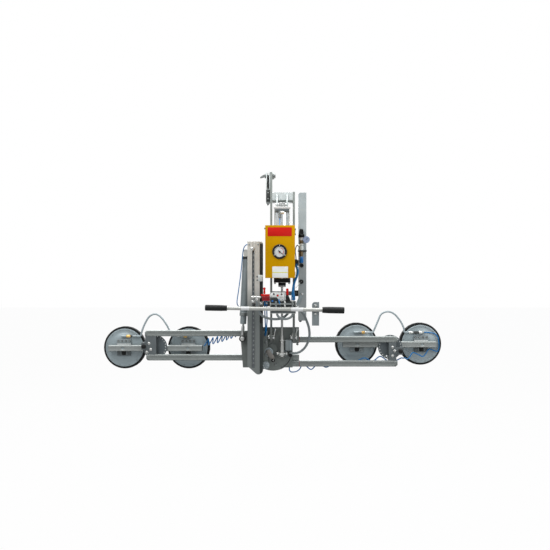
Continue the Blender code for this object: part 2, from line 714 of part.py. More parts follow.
def make_head_plate():
    start = -degrees(atan2(sqrt(HEAD_ARC_R ** 2 - HEAD_WAIST_X ** 2), HEAD_WAIST_X))
    end = -degrees(atan2(sqrt(HEAD_ARC_R ** 2 - HEAD_LEFT_X ** 2), HEAD_LEFT_X))
    shoulder = TURN_Z + 0.050
    outline = [(HEAD_LEFT_X, HEAD_TOP_Z), (HEAD_RIGHT_X, HEAD_TOP_Z), (HEAD_RIGHT_X, shoulder),
               (HEAD_WAIST_X, shoulder - 0.013)]
    outline += arc((0, TURN_Z), HEAD_ARC_R, start, end, 14)
    piece = prism("head_plate", outline, HEAD_Y, head_back_y, "grey_paint")
    root = HEAD_Y + LAP
    hinge = ear_outline(root, (0, HINGE_Z), HINGE_EAR_R, 0.006)
    lever = ear_outline(root, (0, HINGE_Z - LEVER_DROP), HINGE_EAR_R, 0.006)
    starts = [UPRIGHT_LEFT_X - GAP - EAR_THICK, left_inner_x + GAP, UPRIGHT_RIGHT_X - GAP - EAR_THICK, right_outer_x + GAP]
    for i, x in enumerate(starts):
        join(piece, prism(tool_name("head_plate", i), hinge, x, x + EAR_THICK, along="X"))
    for i, x in enumerate((TILT_TOP.x - 0.0165 - EAR_THICK, TILT_TOP.x + 0.0165)):
        join(piece, prism(tool_name("head_plate", i + 4), lever, x, x + EAR_THICK, along="X"))
    for i, x in enumerate((starts[0], starts[2])):
        span = (x - 0.01, 0, HINGE_Z), (x + 0.05, 0, HINGE_Z)
        cut(piece, rod(tool_name("head_plate", i + 6), *span, HINGE_PIN_R + GAP, sides=PIN_SIDES))
    shaft = rod(tool_name("head_plate", 8), (0, HEAD_Y - 0.01, TURN_Z), (0, head_back_y + 0.01, TURN_Z),
                bore_r(TURN_SHAFT_R, SHAFT_SIDES), sides=SHAFT_SIDES)
    return cut(piece, shaft)


def make_hinge_pin(name, upright_x):
    near = upright_x - 2 * GAP - EAR_THICK
    far = upright_x + UPRIGHT_WIDTH + 2 * GAP + EAR_THICK
    profile = [(-0.006, 0), (-0.006, 0.014), (0, 0.014), (0, HINGE_PIN_R), (far - near, HINGE_PIN_R), (far - near, 0.014),
               (far - near + 0.006, 0.014), (far - near + 0.006, 0)]
    return turned(name, profile, (near, 0, HINGE_Z), (1, 0, 0), "bright_steel", sides=PIN_SIDES)


def make_mast():
    right = mast_right_x
    nose_left = right - 0.024
    outline = [(MAST_X, MAST_TOP_Z), (MAST_X, MAST_BOTTOM_Z), (nose_left, MAST_NOSE_Z + 0.004), (nose_left + 0.008, MAST_NOSE_Z),
               (right, MAST_NOSE_Z), (right, MAST_TOP_Z)]
    piece = prism("mast", outline, MAST_Y, mast_back_y, "zinc")
    chamfer = 0.008
    rail = [(right - LAP, MAST_TOP_Z - 0.001), (right + RAIL_WIDTH - chamfer, MAST_TOP_Z - 0.001),
            (right + RAIL_WIDTH, MAST_TOP_Z - chamfer), (right + RAIL_WIDTH, -1.0094), (right - LAP, -1.0094)]
    join(piece, prism(tool_name("mast", 0), rail, MAST_Y + 0.008, MAST_Y + 0.044))
    lug_low = (ROT_TOP.x - 0.020, mast_back_y - 2 * LAP, ROT_TOP.z - 0.024)
    lug_high = (MAST_X + 0.040, ROT_TOP.y - 0.0123, ROT_TOP.z + 0.024)
    join(piece, slab(tool_name("mast", 1), lug_low, lug_high))
    inner_low = (MAST_X + MAST_WALL, MAST_Y + MAST_WALL, MAST_BOTTOM_Z + 0.02)
    inner_high = (right - MAST_WALL, mast_back_y - MAST_WALL - LAP, MAST_TOP_Z - MAST_WALL)
    middle = MAST_X + MAST_WIDTH * 0.49
    slot_low = (middle - SLOT_WIDTH / 2, MAST_Y - 0.01, MAST_BOTTOM_Z + 0.03)
    slot_high = (middle + SLOT_WIDTH / 2, MAST_Y + 0.01, MAST_TOP_Z - 0.045)
    cut(piece, slab(tool_name("mast", 3), inner_low, inner_high), slab(tool_name("mast", 4), slot_low, slot_high))
    reach = Vector((0, 0.0145, 0))
    pin = rod(tool_name("mast", 5), ROT_TOP - reach, ROT_TOP + reach, ROT_PIN_R, sides=THIN_PIN_SIDES)
    return join(piece, pin)


def make_mast_foot():
    front = mast_back_y + GAP
    right = UPRIGHT_LEFT_X - 0.017
    nose = (right - FOOT_NOSE_R, -1.2899)
    outline = [(MAST_X + 0.007, FOOT_TOP_Z), (right, FOOT_TOP_Z)]
    outline += arc(nose, FOOT_NOSE_R, 0, -180, 10)
    outline += [(MAST_X + 0.007, -1.250)]
    piece = prism("mast_foot", outline, front, front + FOOT_THICK, "zinc")
    spacer = slab(tool_name("mast_foot"), (right - 0.032, front + FOOT_THICK - LAP, -1.280), (right, HEAD_Y - GAP, FOOT_TOP_Z))
    return join(piece, spacer)


def make_rotation_cylinder():
    base = pivot("rotation_cylinder_pivot", ROT_TOP, (0, rot_lean, 0))
    name = "rotation_cylinder"
    piece = down(name, [(0.030, 0), (0.030, ROT_BARREL_R), (ROT_BARREL_END, ROT_BARREL_R), (ROT_BARREL_END, 0.021),
                        (ROT_GLAND_END, 0.021), (ROT_GLAND_END, 0)], "grey_paint", 20)
    eye = rod(tool_name(name, 0), (0, -0.0115, 0), (0, 0.0115, 0), 0.016)
    neck = slab(tool_name(name, 1), (-0.011, -0.0105, -0.033), (0.011, 0.0105, -0.004))
    join(piece, neck, eye)
    hole = rod(tool_name(name, 2), (0, -0.02, 0), (0, 0.02, 0), bore_r(ROT_PIN_R, THIN_PIN_SIDES), sides=THIN_PIN_SIDES)
    bore = down(tool_name(name, 3), [(0.048, 0), (0.048, ROT_BORE_R), (ROT_BARREL_END - 0.01, ROT_BORE_R),
                                     (ROT_BARREL_END - 0.01, ROT_ROD_R + GAP), (ROT_GLAND_END + 0.01, ROT_ROD_R + GAP),
                                     (ROT_GLAND_END + 0.01, 0)], sides=16)
    cut(piece, hole, bore)
    carry(base, piece, [eye, neck, hole, bore])
    return piece


def make_rotation_rod():
    base = pivot("rotation_rod_pivot", ROT_TOP, (0, rot_lean, 0))
    name = "rotation_rod"
    clevis = rot_length - 0.085
    piston_r = ROT_BORE_R - GAP - 0.0007
    piece = down(name, [(0.060, 0), (0.060, piston_r), (0.080, piston_r), (0.080, ROT_ROD_R), (clevis, ROT_ROD_R),
                        (clevis, 0.0112), (rot_length - 0.012, 0.0112), (rot_length - 0.012, 0)], "bright_steel", 16)
    eye = rod(tool_name(name, 0), (0, -0.0118, -rot_length), (0, 0.0120, -rot_length), 0.0190)
    stub_end = turn_front_y - ROT_LEVER.y - 0.0005
    stub = rod(tool_name(name, 1), (0, 0, -rot_length), (0, stub_end, -rot_length), 0.007, sides=12)
    join(piece, eye, stub)
    carry(base, piece, [eye, stub])
    return piece


# Turning cross frame


def make_turn_plate():
    lower = right_lower_z - tube_half - SLEEVE_WALL
    upper = left_upper_z + tube_half + SLEEVE_WALL
    right = SLEEVE_RIGHT_X + SLEEVE_WIDTH
    left = SLEEVE_LEFT_X - 0.0436
    lever = (ROT_LEVER.x, ROT_LEVER.z)
    outline = [(left, lower)] + arc(lever, 0.022, 235, 100, 7)
    outline += [(SLEEVE_LEFT_X, upper), (right, upper), (right, lower)]
    piece = prism("turn_plate", outline, turn_front_y, turn_back_y, "grey_paint")
    nut_front = HEAD_Y - 0.010
    profile = [(0, 0), (0, 0.033), (HEAD_Y - GAP - nut_front, 0.033), (HEAD_Y - GAP - nut_front, TURN_SHAFT_R),
               (turn_front_y + LAP - nut_front, TURN_SHAFT_R), (turn_front_y + LAP - nut_front, 0)]
    shaft = turned(tool_name("turn_plate"), profile, (0, nut_front, TURN_Z), (0, 1, 0), sides=SHAFT_SIDES)
    return join(piece, shaft)


def make_sleeve(name, x, wing_x, wing_low, wing_high):
    """A block with four square holes for the arm tubes, and a wing over one pair."""
    lower = right_lower_z - tube_half - SLEEVE_WALL
    upper = left_upper_z + tube_half + SLEEVE_WALL
    front = turn_back_y + GAP
    back = 2 * ARM_Y - front
    piece = slab(name, (x, front, lower), (x + SLEEVE_WIDTH, back, upper), "grey_paint")
    join(piece, slab(tool_name(name, 0), (wing_x[0], front, wing_low), (wing_x[1], back, wing_high)))
    hole = tube_half + GAP
    for i, z in enumerate((left_upper_z, left_lower_z, right_upper_z, right_lower_z)):
        low = (min(x, wing_x[0]) - 0.02, ARM_Y - hole, z - hole)
        high = (max(x + SLEEVE_WIDTH, wing_x[1]) + 0.02, ARM_Y + hole, z + hole)
        cut(piece, slab(tool_name(name, i + 1), low, high))
    return piece


def make_sleeves():
    lower = right_lower_z - tube_half - SLEEVE_WALL
    upper = left_upper_z + tube_half + SLEEVE_WALL
    middle_low = left_lower_z + tube_half + SLEEVE_WALL
    middle_high = right_upper_z - tube_half - SLEEVE_WALL
    left = make_sleeve("sleeve_left", SLEEVE_LEFT_X, (SLEEVE_LEFT_X - 0.0436, SLEEVE_LEFT_X + LAP), lower, middle_low)
    edge = SLEEVE_RIGHT_X + SLEEVE_WIDTH
    right = make_sleeve("sleeve_right", SLEEVE_RIGHT_X, (edge - LAP, edge + 0.0455), middle_high, upper)
    return left, right


# Arms, index knobs, cup bars and cups. side is -1 for the left arm and 1 for the right one.


def make_tube(name, inner_x, outer_x, z, bevel_top):
    side = 1 if outer_x > inner_x else -1
    chamfer = 0.012 * side
    low, high = z - tube_half, z + tube_half
    if bevel_top:
        outline = [(inner_x, low), (outer_x, low), (outer_x, high - abs(chamfer)), (outer_x - chamfer, high), (inner_x, high)]
    else:
        outline = [(inner_x, low), (outer_x - chamfer, low), (outer_x, low + abs(chamfer)), (outer_x, high), (inner_x, high)]
    piece = prism(name, outline, ARM_Y - tube_half, ARM_Y + tube_half, "zinc")
    inside = tube_half - TUBE_WALL
    ends = sorted((inner_x - side * 0.01, outer_x - side * 0.016))
    hollow = slab(tool_name(name), (ends[0], ARM_Y - inside, z - inside), (ends[1], ARM_Y + inside, z + inside))
    return cut(piece, hollow)


def knob_place(side):
    pivot_x = PIVOT_LEFT_X if side < 0 else PIVOT_RIGHT_X
    angle = radians(172.8) if side < 0 else radians(-21.5)
    return Vector((pivot_x + INDEX_R * cos(angle), 0, PIVOT_Z + INDEX_R * sin(angle))), angle


def make_arm(side, word):
    upper_z, lower_z = (left_upper_z, left_lower_z) if side < 0 else (right_upper_z, right_lower_z)
    reach = -ARM_REACH_LEFT if side < 0 else ARM_REACH_RIGHT
    inner = ARM_INNER_LEFT if side < 0 else ARM_INNER_RIGHT
    low_reach = reach + 0.010 if side < 0 else reach
    upper = make_tube(f"arm_tube_upper_{word}", inner, reach, upper_z, bevel_top=True)
    lower = make_tube(f"arm_tube_lower_{word}", inner, low_reach, lower_z, bevel_top=False)
    pivot_x = PIVOT_LEFT_X if side < 0 else PIVOT_RIGHT_X
    ends = (pivot_x - 0.060, pivot_x + 0.016) if side < 0 else (pivot_x - 0.016, pivot_x + 0.036)
    name = f"end_post_{word}"
    post = slab(name, (ends[0], ARM_Y - tube_half, lower_z + tube_half + GAP), (ends[1], ARM_Y + tube_half, upper_z - tube_half - GAP),
                "grey_paint")
    place, angle = knob_place(side)
    lug_x = sorted((place.x + side * 0.020, pivot_x + side * 0.030))
    lug_front = ARM_Y - tube_half
    lug = slab(tool_name(name, 0), (lug_x[0], lug_front, place.z - 0.026), (lug_x[1], tube_back_y, place.z + 0.026))
    spindle = rod(tool_name(name, 1), (pivot_x, ARM_Y, PIVOT_Z), (pivot_x, cup_bar_back_y - 0.003, PIVOT_Z), PIVOT_R,
                  sides=PIN_SIDES)
    join(post, lug, spindle)
    hole = Vector((place.x, 0, place.z))
    bore = rod(tool_name(name, 2), hole + Vector((0, 0.03, 0)), hole + Vector((0, 0.2, 0)), bore_r(INDEX_PIN_R, THIN_PIN_SIDES),
               sides=THIN_PIN_SIDES)
    cut(post, bore)
    knob_y = lug_front - GAP - INDEX_TRAVEL     # stored drawn, so that the cup bar can turn
    base = pivot(f"index_knob_{word}_pivot", (place.x, knob_y, place.z))
    profile = [(0, 0), (0, 0.013), (0.006, 0.016), (0.020, 0.016), (0.0245, 0.012), (0.0245, 0)]
    knob = turned(f"index_knob_{word}", profile, (place.x, knob_y, place.z), (0, -1, 0), "black_plastic", sides=14)
    tip = disc_y - GAP
    join(knob, rod(tool_name(knob.name), (place.x, knob_y - 0.004, place.z), (place.x, tip, place.z), INDEX_PIN_R, sides=THIN_PIN_SIDES))
    arm_base = pivot(f"arm_{word}_pivot", (0, ARM_Y, TURN_Z))
    hang(arm_base, upper, lower, post)
    hang(base, knob)
    return upper, lower, post, knob


def make_cup_bar(side, word):
    pivot_x = PIVOT_LEFT_X if side < 0 else PIVOT_RIGHT_X
    line = PIVOT_Z + (CUP_LINE_LEFT if side < 0 else CUP_LINE_RIGHT)
    name = f"cup_bar_{word}"
    half = tube_half
    piece = slab(name, (pivot_x - CUP_BAR_HALF, cup_bar_y, line - half), (pivot_x + CUP_BAR_HALF, cup_bar_back_y, line + half), "zinc")
    inside = half - TUBE_WALL
    hollow = slab(tool_name(name, 0), (pivot_x - CUP_BAR_HALF - 0.01, cup_bar_y + TUBE_WALL, line - inside),
                  (pivot_x - 0.05, cup_bar_back_y - TUBE_WALL, line + inside))
    hollow_right = slab(tool_name(name, 1), (pivot_x + 0.05, cup_bar_y + TUBE_WALL, line - inside),
                        (pivot_x + CUP_BAR_HALF + 0.01, cup_bar_back_y - TUBE_WALL, line + inside))
    disc = rod(tool_name(name, 2), (pivot_x, disc_y, PIVOT_Z), (pivot_x, disc_y + DISC_THICK, PIVOT_Z), DISC_R, sides=28)
    join(piece, disc)
    cut(piece, hollow, hollow_right)
    drills = [rod(tool_name(name, 3), (pivot_x, disc_y - 0.01, PIVOT_Z), (pivot_x, cup_bar_back_y + 0.01, PIVOT_Z),
                  bore_r(PIVOT_R, PIN_SIDES), sides=PIN_SIDES)]
    for i, way in enumerate((-1, 1)):
        x = pivot_x + way * CUP_HALF
        drills.append(rod(tool_name(name, 4 + i), (x, cup_bar_y - 0.01, line), (x, cup_bar_back_y + 0.01, line), STEM_R + GAP, sides=12))
    first = knob_place(side)[1]
    for i in range(INDEX_COUNT):
        angle = first + 2 * pi * i / INDEX_COUNT
        x, z = pivot_x + INDEX_R * cos(angle), PIVOT_Z + INDEX_R * sin(angle)
        if abs(z - line) > half + INDEX_PIN_R or i == 0 or i == INDEX_COUNT // 2:
            drills.append(rod(tool_name(name, 6 + i), (x, disc_y - 0.01, z), (x, disc_y + DISC_THICK, z),
                              bore_r(INDEX_PIN_R, THIN_PIN_SIDES), sides=THIN_PIN_SIDES))
    cut(piece, *drills)
    base = pivot(f"cup_bar_{word}_pivot", (pivot_x, ARM_Y, PIVOT_Z))
    hang(base, piece)
    return piece


def make_cup(word, x, z, toward):
    """A steel cup plate with its stem, bracket and hose fitting, and the rubber seal behind it."""
    base = pivot(f"cup_{word}_pivot", (x, cup_hub_y, z))
    name = f"cup_plate_{word}"
    stem_front = cup_bar_y + 0.0015
    profile = [(stem_front, 0), (stem_front, STEM_R), (cup_hub_y, STEM_R), (cup_hub_y, 0.030), (cup_plate_y, 0.034),
               (cup_plate_y, CUP_PLATE_R - 0.003), (cup_plate_y + 0.003, CUP_PLATE_R), (cup_plate_y + CUP_PLATE_THICK, CUP_PLATE_R),
               (cup_plate_y + CUP_PLATE_THICK, 0)]
    plate = turned(name, profile, (x, 0, z), (0, 1, 0), "plate_blue_grey", sides=28)
    bracket = slab(tool_name(name, 0), (x - 0.051, cup_hub_y + 0.001, z + 0.016), (x + 0.051, cup_plate_y + LAP, z + 0.058))
    buffer = slab(tool_name(name, 1), (x - 0.028, cup_hub_y + 0.001, z - 0.052), (x + 0.028, cup_plate_y + LAP, z - 0.018))
    fitting_y = cup_plate_y - FITTING_STAND
    fitting_z = z + 0.083
    fitting = rod(tool_name(name, 2), (x - toward * 0.020, fitting_y, fitting_z), (x + toward * 0.088, fitting_y, fitting_z), FITTING_R, sides=12)
    elbow = rod(tool_name(name, 3), (x, fitting_y, fitting_z), (x, cup_plate_y + LAP, fitting_z), FITTING_R, sides=12)
    join(plate, bracket, buffer, fitting, elbow)
    end = seal_y + SEAL_DEPTH
    lip = [(seal_y, SEAL_R - 0.031), (seal_y, SEAL_R - 0.012), (seal_y + 0.012, SEAL_R), (end, SEAL_R), (end, SEAL_R - 0.008),
           (seal_y + 0.019, SEAL_R - 0.013), (seal_y + 0.008, SEAL_R - 0.031)]
    seal = turned(f"cup_seal_{word}", lip, (x, 0, z), (0, 1, 0), "rubber", sides=28, ring=True)
    hang(base, plate, seal)
    return plate, seal


def make_hoses():
    """Free hoses. Their points are chosen by hand to follow the photographed routes."""
    left_z = PIVOT_Z + CUP_LINE_LEFT + 0.083
    right_z = PIVOT_Z + CUP_LINE_RIGHT + 0.083
    y = cup_plate_y - FITTING_STAND
    left_outer = PIVOT_LEFT_X - CUP_HALF + 0.088 + GAP
    left_inner = PIVOT_LEFT_X + CUP_HALF - 0.088 - GAP
    right_inner = PIVOT_RIGHT_X - CUP_HALF + 0.088 + GAP
    right_outer = PIVOT_RIGHT_X + CUP_HALF - 0.088 - GAP
    hose("arc_hose_left", [
        (left_outer, y, left_z), (left_outer + 0.014, y, left_z), (left_outer + 0.030, y, left_z + 0.005),
        (-0.928, y, -1.066), (-0.908, y, -1.018), (-0.878, y, -0.972), (-0.838, y, -0.955), (-0.800, y, -0.974),
        (-0.765, y, -1.018), (-0.738, y, -1.066), (left_inner - 0.030, y, left_z + 0.005),
        (left_inner - 0.014, y, left_z), (left_inner, y, left_z)], ARC_HOSE_R, "hose_grey")
    hose("arc_hose_right", [
        (right_inner, y, right_z), (right_inner + 0.014, y, right_z), (right_inner + 0.028, y, right_z + 0.005),
        (0.725, y, -1.052), (0.745, y, -1.005), (0.770, y, -0.955), (0.815, y, -0.938), (0.862, y, -0.955),
        (0.905, y, -1.005), (0.928, y, -1.052), (right_outer - 0.030, y, right_z + 0.005),
        (right_outer - 0.014, y, right_z), (right_outer, y, right_z)], ARC_HOSE_R, "hose_grey")
    coil_y = tube_back_y + COIL_R + GAP
    hose("coil_hose_left", [
        (-0.476, coil_y, -1.156), (-0.440, coil_y, -1.150), (-0.380, coil_y, -1.140), (-0.310, coil_y, -1.118),
        (-0.255, coil_y, -1.092)], COIL_R, "hose_blue", 2.2, 4)
    behind_tube = tube_back_y + BLUE_HOSE_R + GAP
    start_x = PIVOT_RIGHT_X + CUP_HALF + 0.020 + GAP
    hose("wave_hose_outer", [
        (start_x, y, right_z), (1.100, y, right_z), (1.145, y, -1.093), (1.172, 0.156, -1.120), (1.177, 0.154, -1.155),
        (1.177, 0.152, -1.195), (1.165, 0.150, -1.219), (1.138, 0.146, -1.212), (1.104, 0.140, -1.203),
        (1.080, 0.134, -1.234), (1.058, 0.130, -1.253), (1.022, 0.124, -1.238), (0.986, 0.119, -1.226),
        (0.960, 0.113, -1.258), (0.943, behind_tube, -1.2680), (0.930, behind_tube, -1.2625),
        (0.9153, behind_tube, -1.2625)], BLUE_HOSE_R, "hose_blue", 5.0)
    under_sleeve = SLEEVE_RIGHT_X + SLEEVE_WIDTH * 0.46
    sleeve_bottom = right_lower_z - tube_half - SLEEVE_WALL - GAP
    hose("wave_hose_inner", [
        (0.915, behind_tube, -1.2625), (0.900, behind_tube, -1.2625), (0.862, behind_tube, -1.2790),
        (0.805, behind_tube, -1.2790), (0.753, behind_tube, -1.2510), (0.700, behind_tube, -1.2840),
        (0.640, behind_tube, -1.2620), (0.570, behind_tube, -1.292), (0.500, behind_tube, -1.290),
        (0.430, behind_tube, -1.297), (0.372, behind_tube, -1.327), (0.320, behind_tube, -1.296),
        (0.268, behind_tube, -1.342), (0.215, behind_tube, -1.304), (0.186, behind_tube, -1.341),
        (0.162, 0.106, -1.357), (0.128, 0.092, -1.358),
        (under_sleeve, ARM_Y, -1.343), (under_sleeve, ARM_Y, sleeve_bottom)], BLUE_HOSE_R, "hose_blue", 5.0)
    yoke_right = right_outer_x + GAP
    hose("loop_hose", [
        (yoke_right, -0.175, -0.910), (0.168, -0.175, -0.910), (0.200, -0.162, -0.938), (0.226, -0.130, -0.990),
        (0.243, -0.095, -1.045), (0.246, -0.055, -1.105), (0.226, -0.020, -1.165), (0.190, 0.005, -1.205),
        (0.150, 0.004, -1.217), (0.122, 0.015, -1.215), (0.118, 0.027, -1.214),
        (0.118, HEAD_Y - GAP, -1.214)], LOOP_HOSE_R, "hose_grey")
    valve_bottom = YOKE_TOP_Z + 0.0225 - 0.011 - GAP
    hose("bar_hose", [
        (-0.1046, yoke_front_y + 0.014, valve_bottom), (-0.1046, yoke_front_y + 0.014, valve_bottom - 0.025),
        (-0.098, -0.196, -0.905), (-0.072, -0.188, -0.948), (-0.030, -0.186, -0.968), (0.020, -0.186, -0.973),
        (0.060, -0.186, -0.966), (0.093, -0.187, -0.942), (0.114, -0.188, -0.911), (0.126, -0.188, -0.910),
        (UPRIGHT_RIGHT_X - GAP, -0.188, -0.910)], LOOP_HOSE_R, "hose_grey")


upright_left = make_upright("upright_left", UPRIGHT_LEFT_X, (BOX_HIGH.z - 0.03, BOX_LOW.z + 0.03), has_pin=True)
upright_right = make_upright("upright_right", UPRIGHT_RIGHT_X, (BOX_HIGH.z - 0.03, BOX_LOW.z + 0.03), has_pin=False)
make_cross_beam()
make_lifting_fork()
make_lifting_pin()
make_side_post()
make_control_box()
make_box_cover()
make_ejector()
make_gauge()
make_regulator()
make_handlebar()
make_valve_panel()
make_push_button()
make_valves()
make_side_bracket()
make_tilt_cylinder()
make_tilt_rod()

head_base = pivot("head_pivot", (0, 0, HINGE_Z))
hang(head_base, make_head_plate(), make_hinge_pin("hinge_pin_left", UPRIGHT_LEFT_X),
     make_hinge_pin("hinge_pin_right", UPRIGHT_RIGHT_X), make_mast(), make_mast_foot())
make_rotation_cylinder()
make_rotation_rod()

turn_base = pivot("turn_pivot", (0, turn_front_y, TURN_Z))
hang(turn_base, make_turn_plate(), *make_sleeves())

for side, word in ((-1, "left"), (1, "right")):
    make_arm(side, word)
    make_cup_bar(side, word)
    pivot_x = PIVOT_LEFT_X if side < 0 else PIVOT_RIGHT_X
    line = PIVOT_Z + (CUP_LINE_LEFT if side < 0 else CUP_LINE_RIGHT)
    for place, way in (("outer", side), ("inner", -side)):
        make_cup(f"{word}_{place}", pivot_x + way * CUP_HALF, line, -way)

make_hoses()
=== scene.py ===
import bpy
import json
from math import cos, pi, radians, sin, sqrt
from mathutils import Matrix, Vector


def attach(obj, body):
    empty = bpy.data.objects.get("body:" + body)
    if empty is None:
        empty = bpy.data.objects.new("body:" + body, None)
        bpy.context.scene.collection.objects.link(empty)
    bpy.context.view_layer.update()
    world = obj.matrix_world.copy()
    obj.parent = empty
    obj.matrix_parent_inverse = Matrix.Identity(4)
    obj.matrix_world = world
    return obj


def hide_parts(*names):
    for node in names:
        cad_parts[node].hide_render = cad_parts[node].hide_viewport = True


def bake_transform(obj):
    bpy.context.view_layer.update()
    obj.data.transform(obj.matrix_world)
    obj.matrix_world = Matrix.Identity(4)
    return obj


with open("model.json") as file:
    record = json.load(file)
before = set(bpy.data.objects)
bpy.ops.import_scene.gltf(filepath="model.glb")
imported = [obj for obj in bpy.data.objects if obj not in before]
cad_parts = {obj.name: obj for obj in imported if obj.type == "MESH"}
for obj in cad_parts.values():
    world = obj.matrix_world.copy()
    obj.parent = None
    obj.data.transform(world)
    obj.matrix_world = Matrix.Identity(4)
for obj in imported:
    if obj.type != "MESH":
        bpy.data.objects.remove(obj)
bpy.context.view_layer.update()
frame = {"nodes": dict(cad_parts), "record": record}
scene = bpy.context.scene
scene.view_settings.view_transform = "Standard"
print("frame loaded:", len(frame["nodes"]), "nodes")

# Camera and lamps. The lens is a little below the foot of the yellow box.
camera = {"place": (0.014, -4.415, -0.7486), "lens": 42.1, "sensor": 36.0, "shiftY": 0.0182}
cameraData = bpy.data.cameras.new("camera")
cameraData.lens, cameraData.sensor_width = camera["lens"], camera["sensor"]
cameraData.sensor_fit = "HORIZONTAL"
cameraData.shift_y = camera["shiftY"]
cameraData.clip_end = 60
cameraObject = bpy.data.objects.new("camera", cameraData)
cameraObject.location = camera["place"]
cameraObject.rotation_euler = (radians(90), 0, 0)
scene.collection.objects.link(cameraObject)
scene.camera = cameraObject

lamps = {
    "keyLamp": {"place": (-2.2, -3.0, 1.9), "aim": (0, 0, -0.9), "size": 2.4, "power": 105},
    "fillLamp": {"place": (2.8, -2.6, 0.4), "aim": (0, 0, -0.9), "size": 2.6, "power": 42},
    "topLamp": {"place": (0.2, 0.3, 2.2), "aim": (0, 0, -1.0), "size": 3.0, "power": 190},
    "backLamp": {"place": (-0.6, 3.6, 0.2), "aim": (0, 0, -1.0), "size": 2.6, "power": 45},
}
for name, lamp in lamps.items():
    light = bpy.data.lights.new(name, "AREA")
    light.size, light.energy = lamp["size"], lamp["power"]
    lampObject = bpy.data.objects.new(name, light)
    lampObject.location = lamp["place"]
    aim = Vector(lamp["aim"]) - Vector(lamp["place"])
    lampObject.rotation_euler = aim.to_track_quat("-Z", "Y").to_euler()
    scene.collection.objects.link(lampObject)


# Shader maths: a wire is one socket, and sums on wires add the Math nodes.
class Wire:
    def __init__(self, paint, socket):
        self.paint, self.socket = paint, socket

    def sum(self, operation, left, right):
        return self.paint.node("ShaderNodeMath", {"operation": operation}, {0: left, 1: right})

    def __add__(self, other):
        return self.sum("ADD", self, other)

    def __sub__(self, other):
        return self.sum("SUBTRACT", self, other)

    def __rsub__(self, other):
        return self.sum("SUBTRACT", other, self)

    def __mul__(self, other):
        return self.sum("MULTIPLY", self, other)

    __radd__, __rmul__ = __add__, __mul__

    def above(self, limit, softness):
        return self.paint.node("ShaderNodeMapRange", {"clamp": True},
            {0: self, 1: limit, 2: limit + softness, 3: 0.0, 4: 1.0})

    def power(self, exponent):
        return self.sum("POWER", self, exponent)


class Paint:
    def __init__(self, name):
        self.material = bpy.data.materials.new(name)
        self.material.use_nodes = True
        self.tree = self.material.node_tree
        self.shader = self.tree.nodes["Principled BSDF"]
        self.output = self.tree.nodes["Material Output"]

    def node(self, kind, settings, values, output=0):
        made = self.tree.nodes.new(kind)
        for key, value in settings.items():
            if key == "stops":
                while len(made.color_ramp.elements) < len(value):
                    made.color_ramp.elements.new(0.5)
                for element, (position, colour) in zip(made.color_ramp.elements, value):
                    element.position, element.color = position, (*colour, 1)
            else:
                setattr(made, key, value)
        for key, value in values.items():
            if isinstance(value, Wire):
                self.tree.links.new(value.socket, made.inputs[key])
            else:
                made.inputs[key].default_value = value
        return Wire(self, made.outputs[output])

    def place(self):
        return self.node("ShaderNodeTexCoord", {}, {}, "Object")

    def noise(self, scale, detail, roughness=0.55, stretch=(1, 1, 1)):
        spot = self.node("ShaderNodeMapping", {}, {"Vector": self.place(), "Scale": stretch})
        return self.node("ShaderNodeTexNoise", {},
            {"Vector": spot, "Scale": scale, "Detail": detail, "Roughness": roughness})

    def split(self):
        return [self.node("ShaderNodeSeparateXYZ", {}, {"Vector": self.place()}, part) for part in range(3)]

    def blend(self, mask, first, second):
        colours = [c if isinstance(c, Wire) else (*c, 1) for c in (first, second)]
        return self.node("ShaderNodeMix", {"data_type": "RGBA"},
            {"Factor": mask, 6: colours[0], 7: colours[1]}, 2)

    def edges(self, radius):
        soft = self.node("ShaderNodeBevel", {"samples": 4}, {"Radius": radius})
        flat = self.node("ShaderNodeNewGeometry", {}, {}, "Normal")
        facing = self.node("ShaderNodeVectorMath", {"operation": "DOT_PRODUCT"}, {0: soft, 1: flat},
            "Value")
        return (1.0 - facing).above(0.02, 0.25)

    # How far the rounded surface faces up (1) or down (-1). steelFinish uses it to paint a highlight on
    # what faces up and shade on what faces down.
    def upward(self, radius):
        soft = self.node("ShaderNodeBevel", {"samples": 8}, {"Radius": radius})
        return self.node("ShaderNodeSeparateXYZ", {}, {"Vector": soft}, 2)

    def bump(self, height, depth, strength, rounding=0.0):
        values = {"Height": height, "Distance": depth, "Strength": strength}
        if rounding:
            values["Normal"] = self.node("ShaderNodeBevel", {"samples": 4}, {"Radius": rounding})
        self.set("Normal", self.node("ShaderNodeBump", {}, values))

    def set(self, socket, value):
        if isinstance(value, Wire):
            self.tree.links.new(value.socket, self.shader.inputs[socket])
        elif socket.endswith("Color") or socket == "Coat Tint":
            self.shader.inputs[socket].default_value = (*value, 1)
        else:
            self.shader.inputs[socket].default_value = value
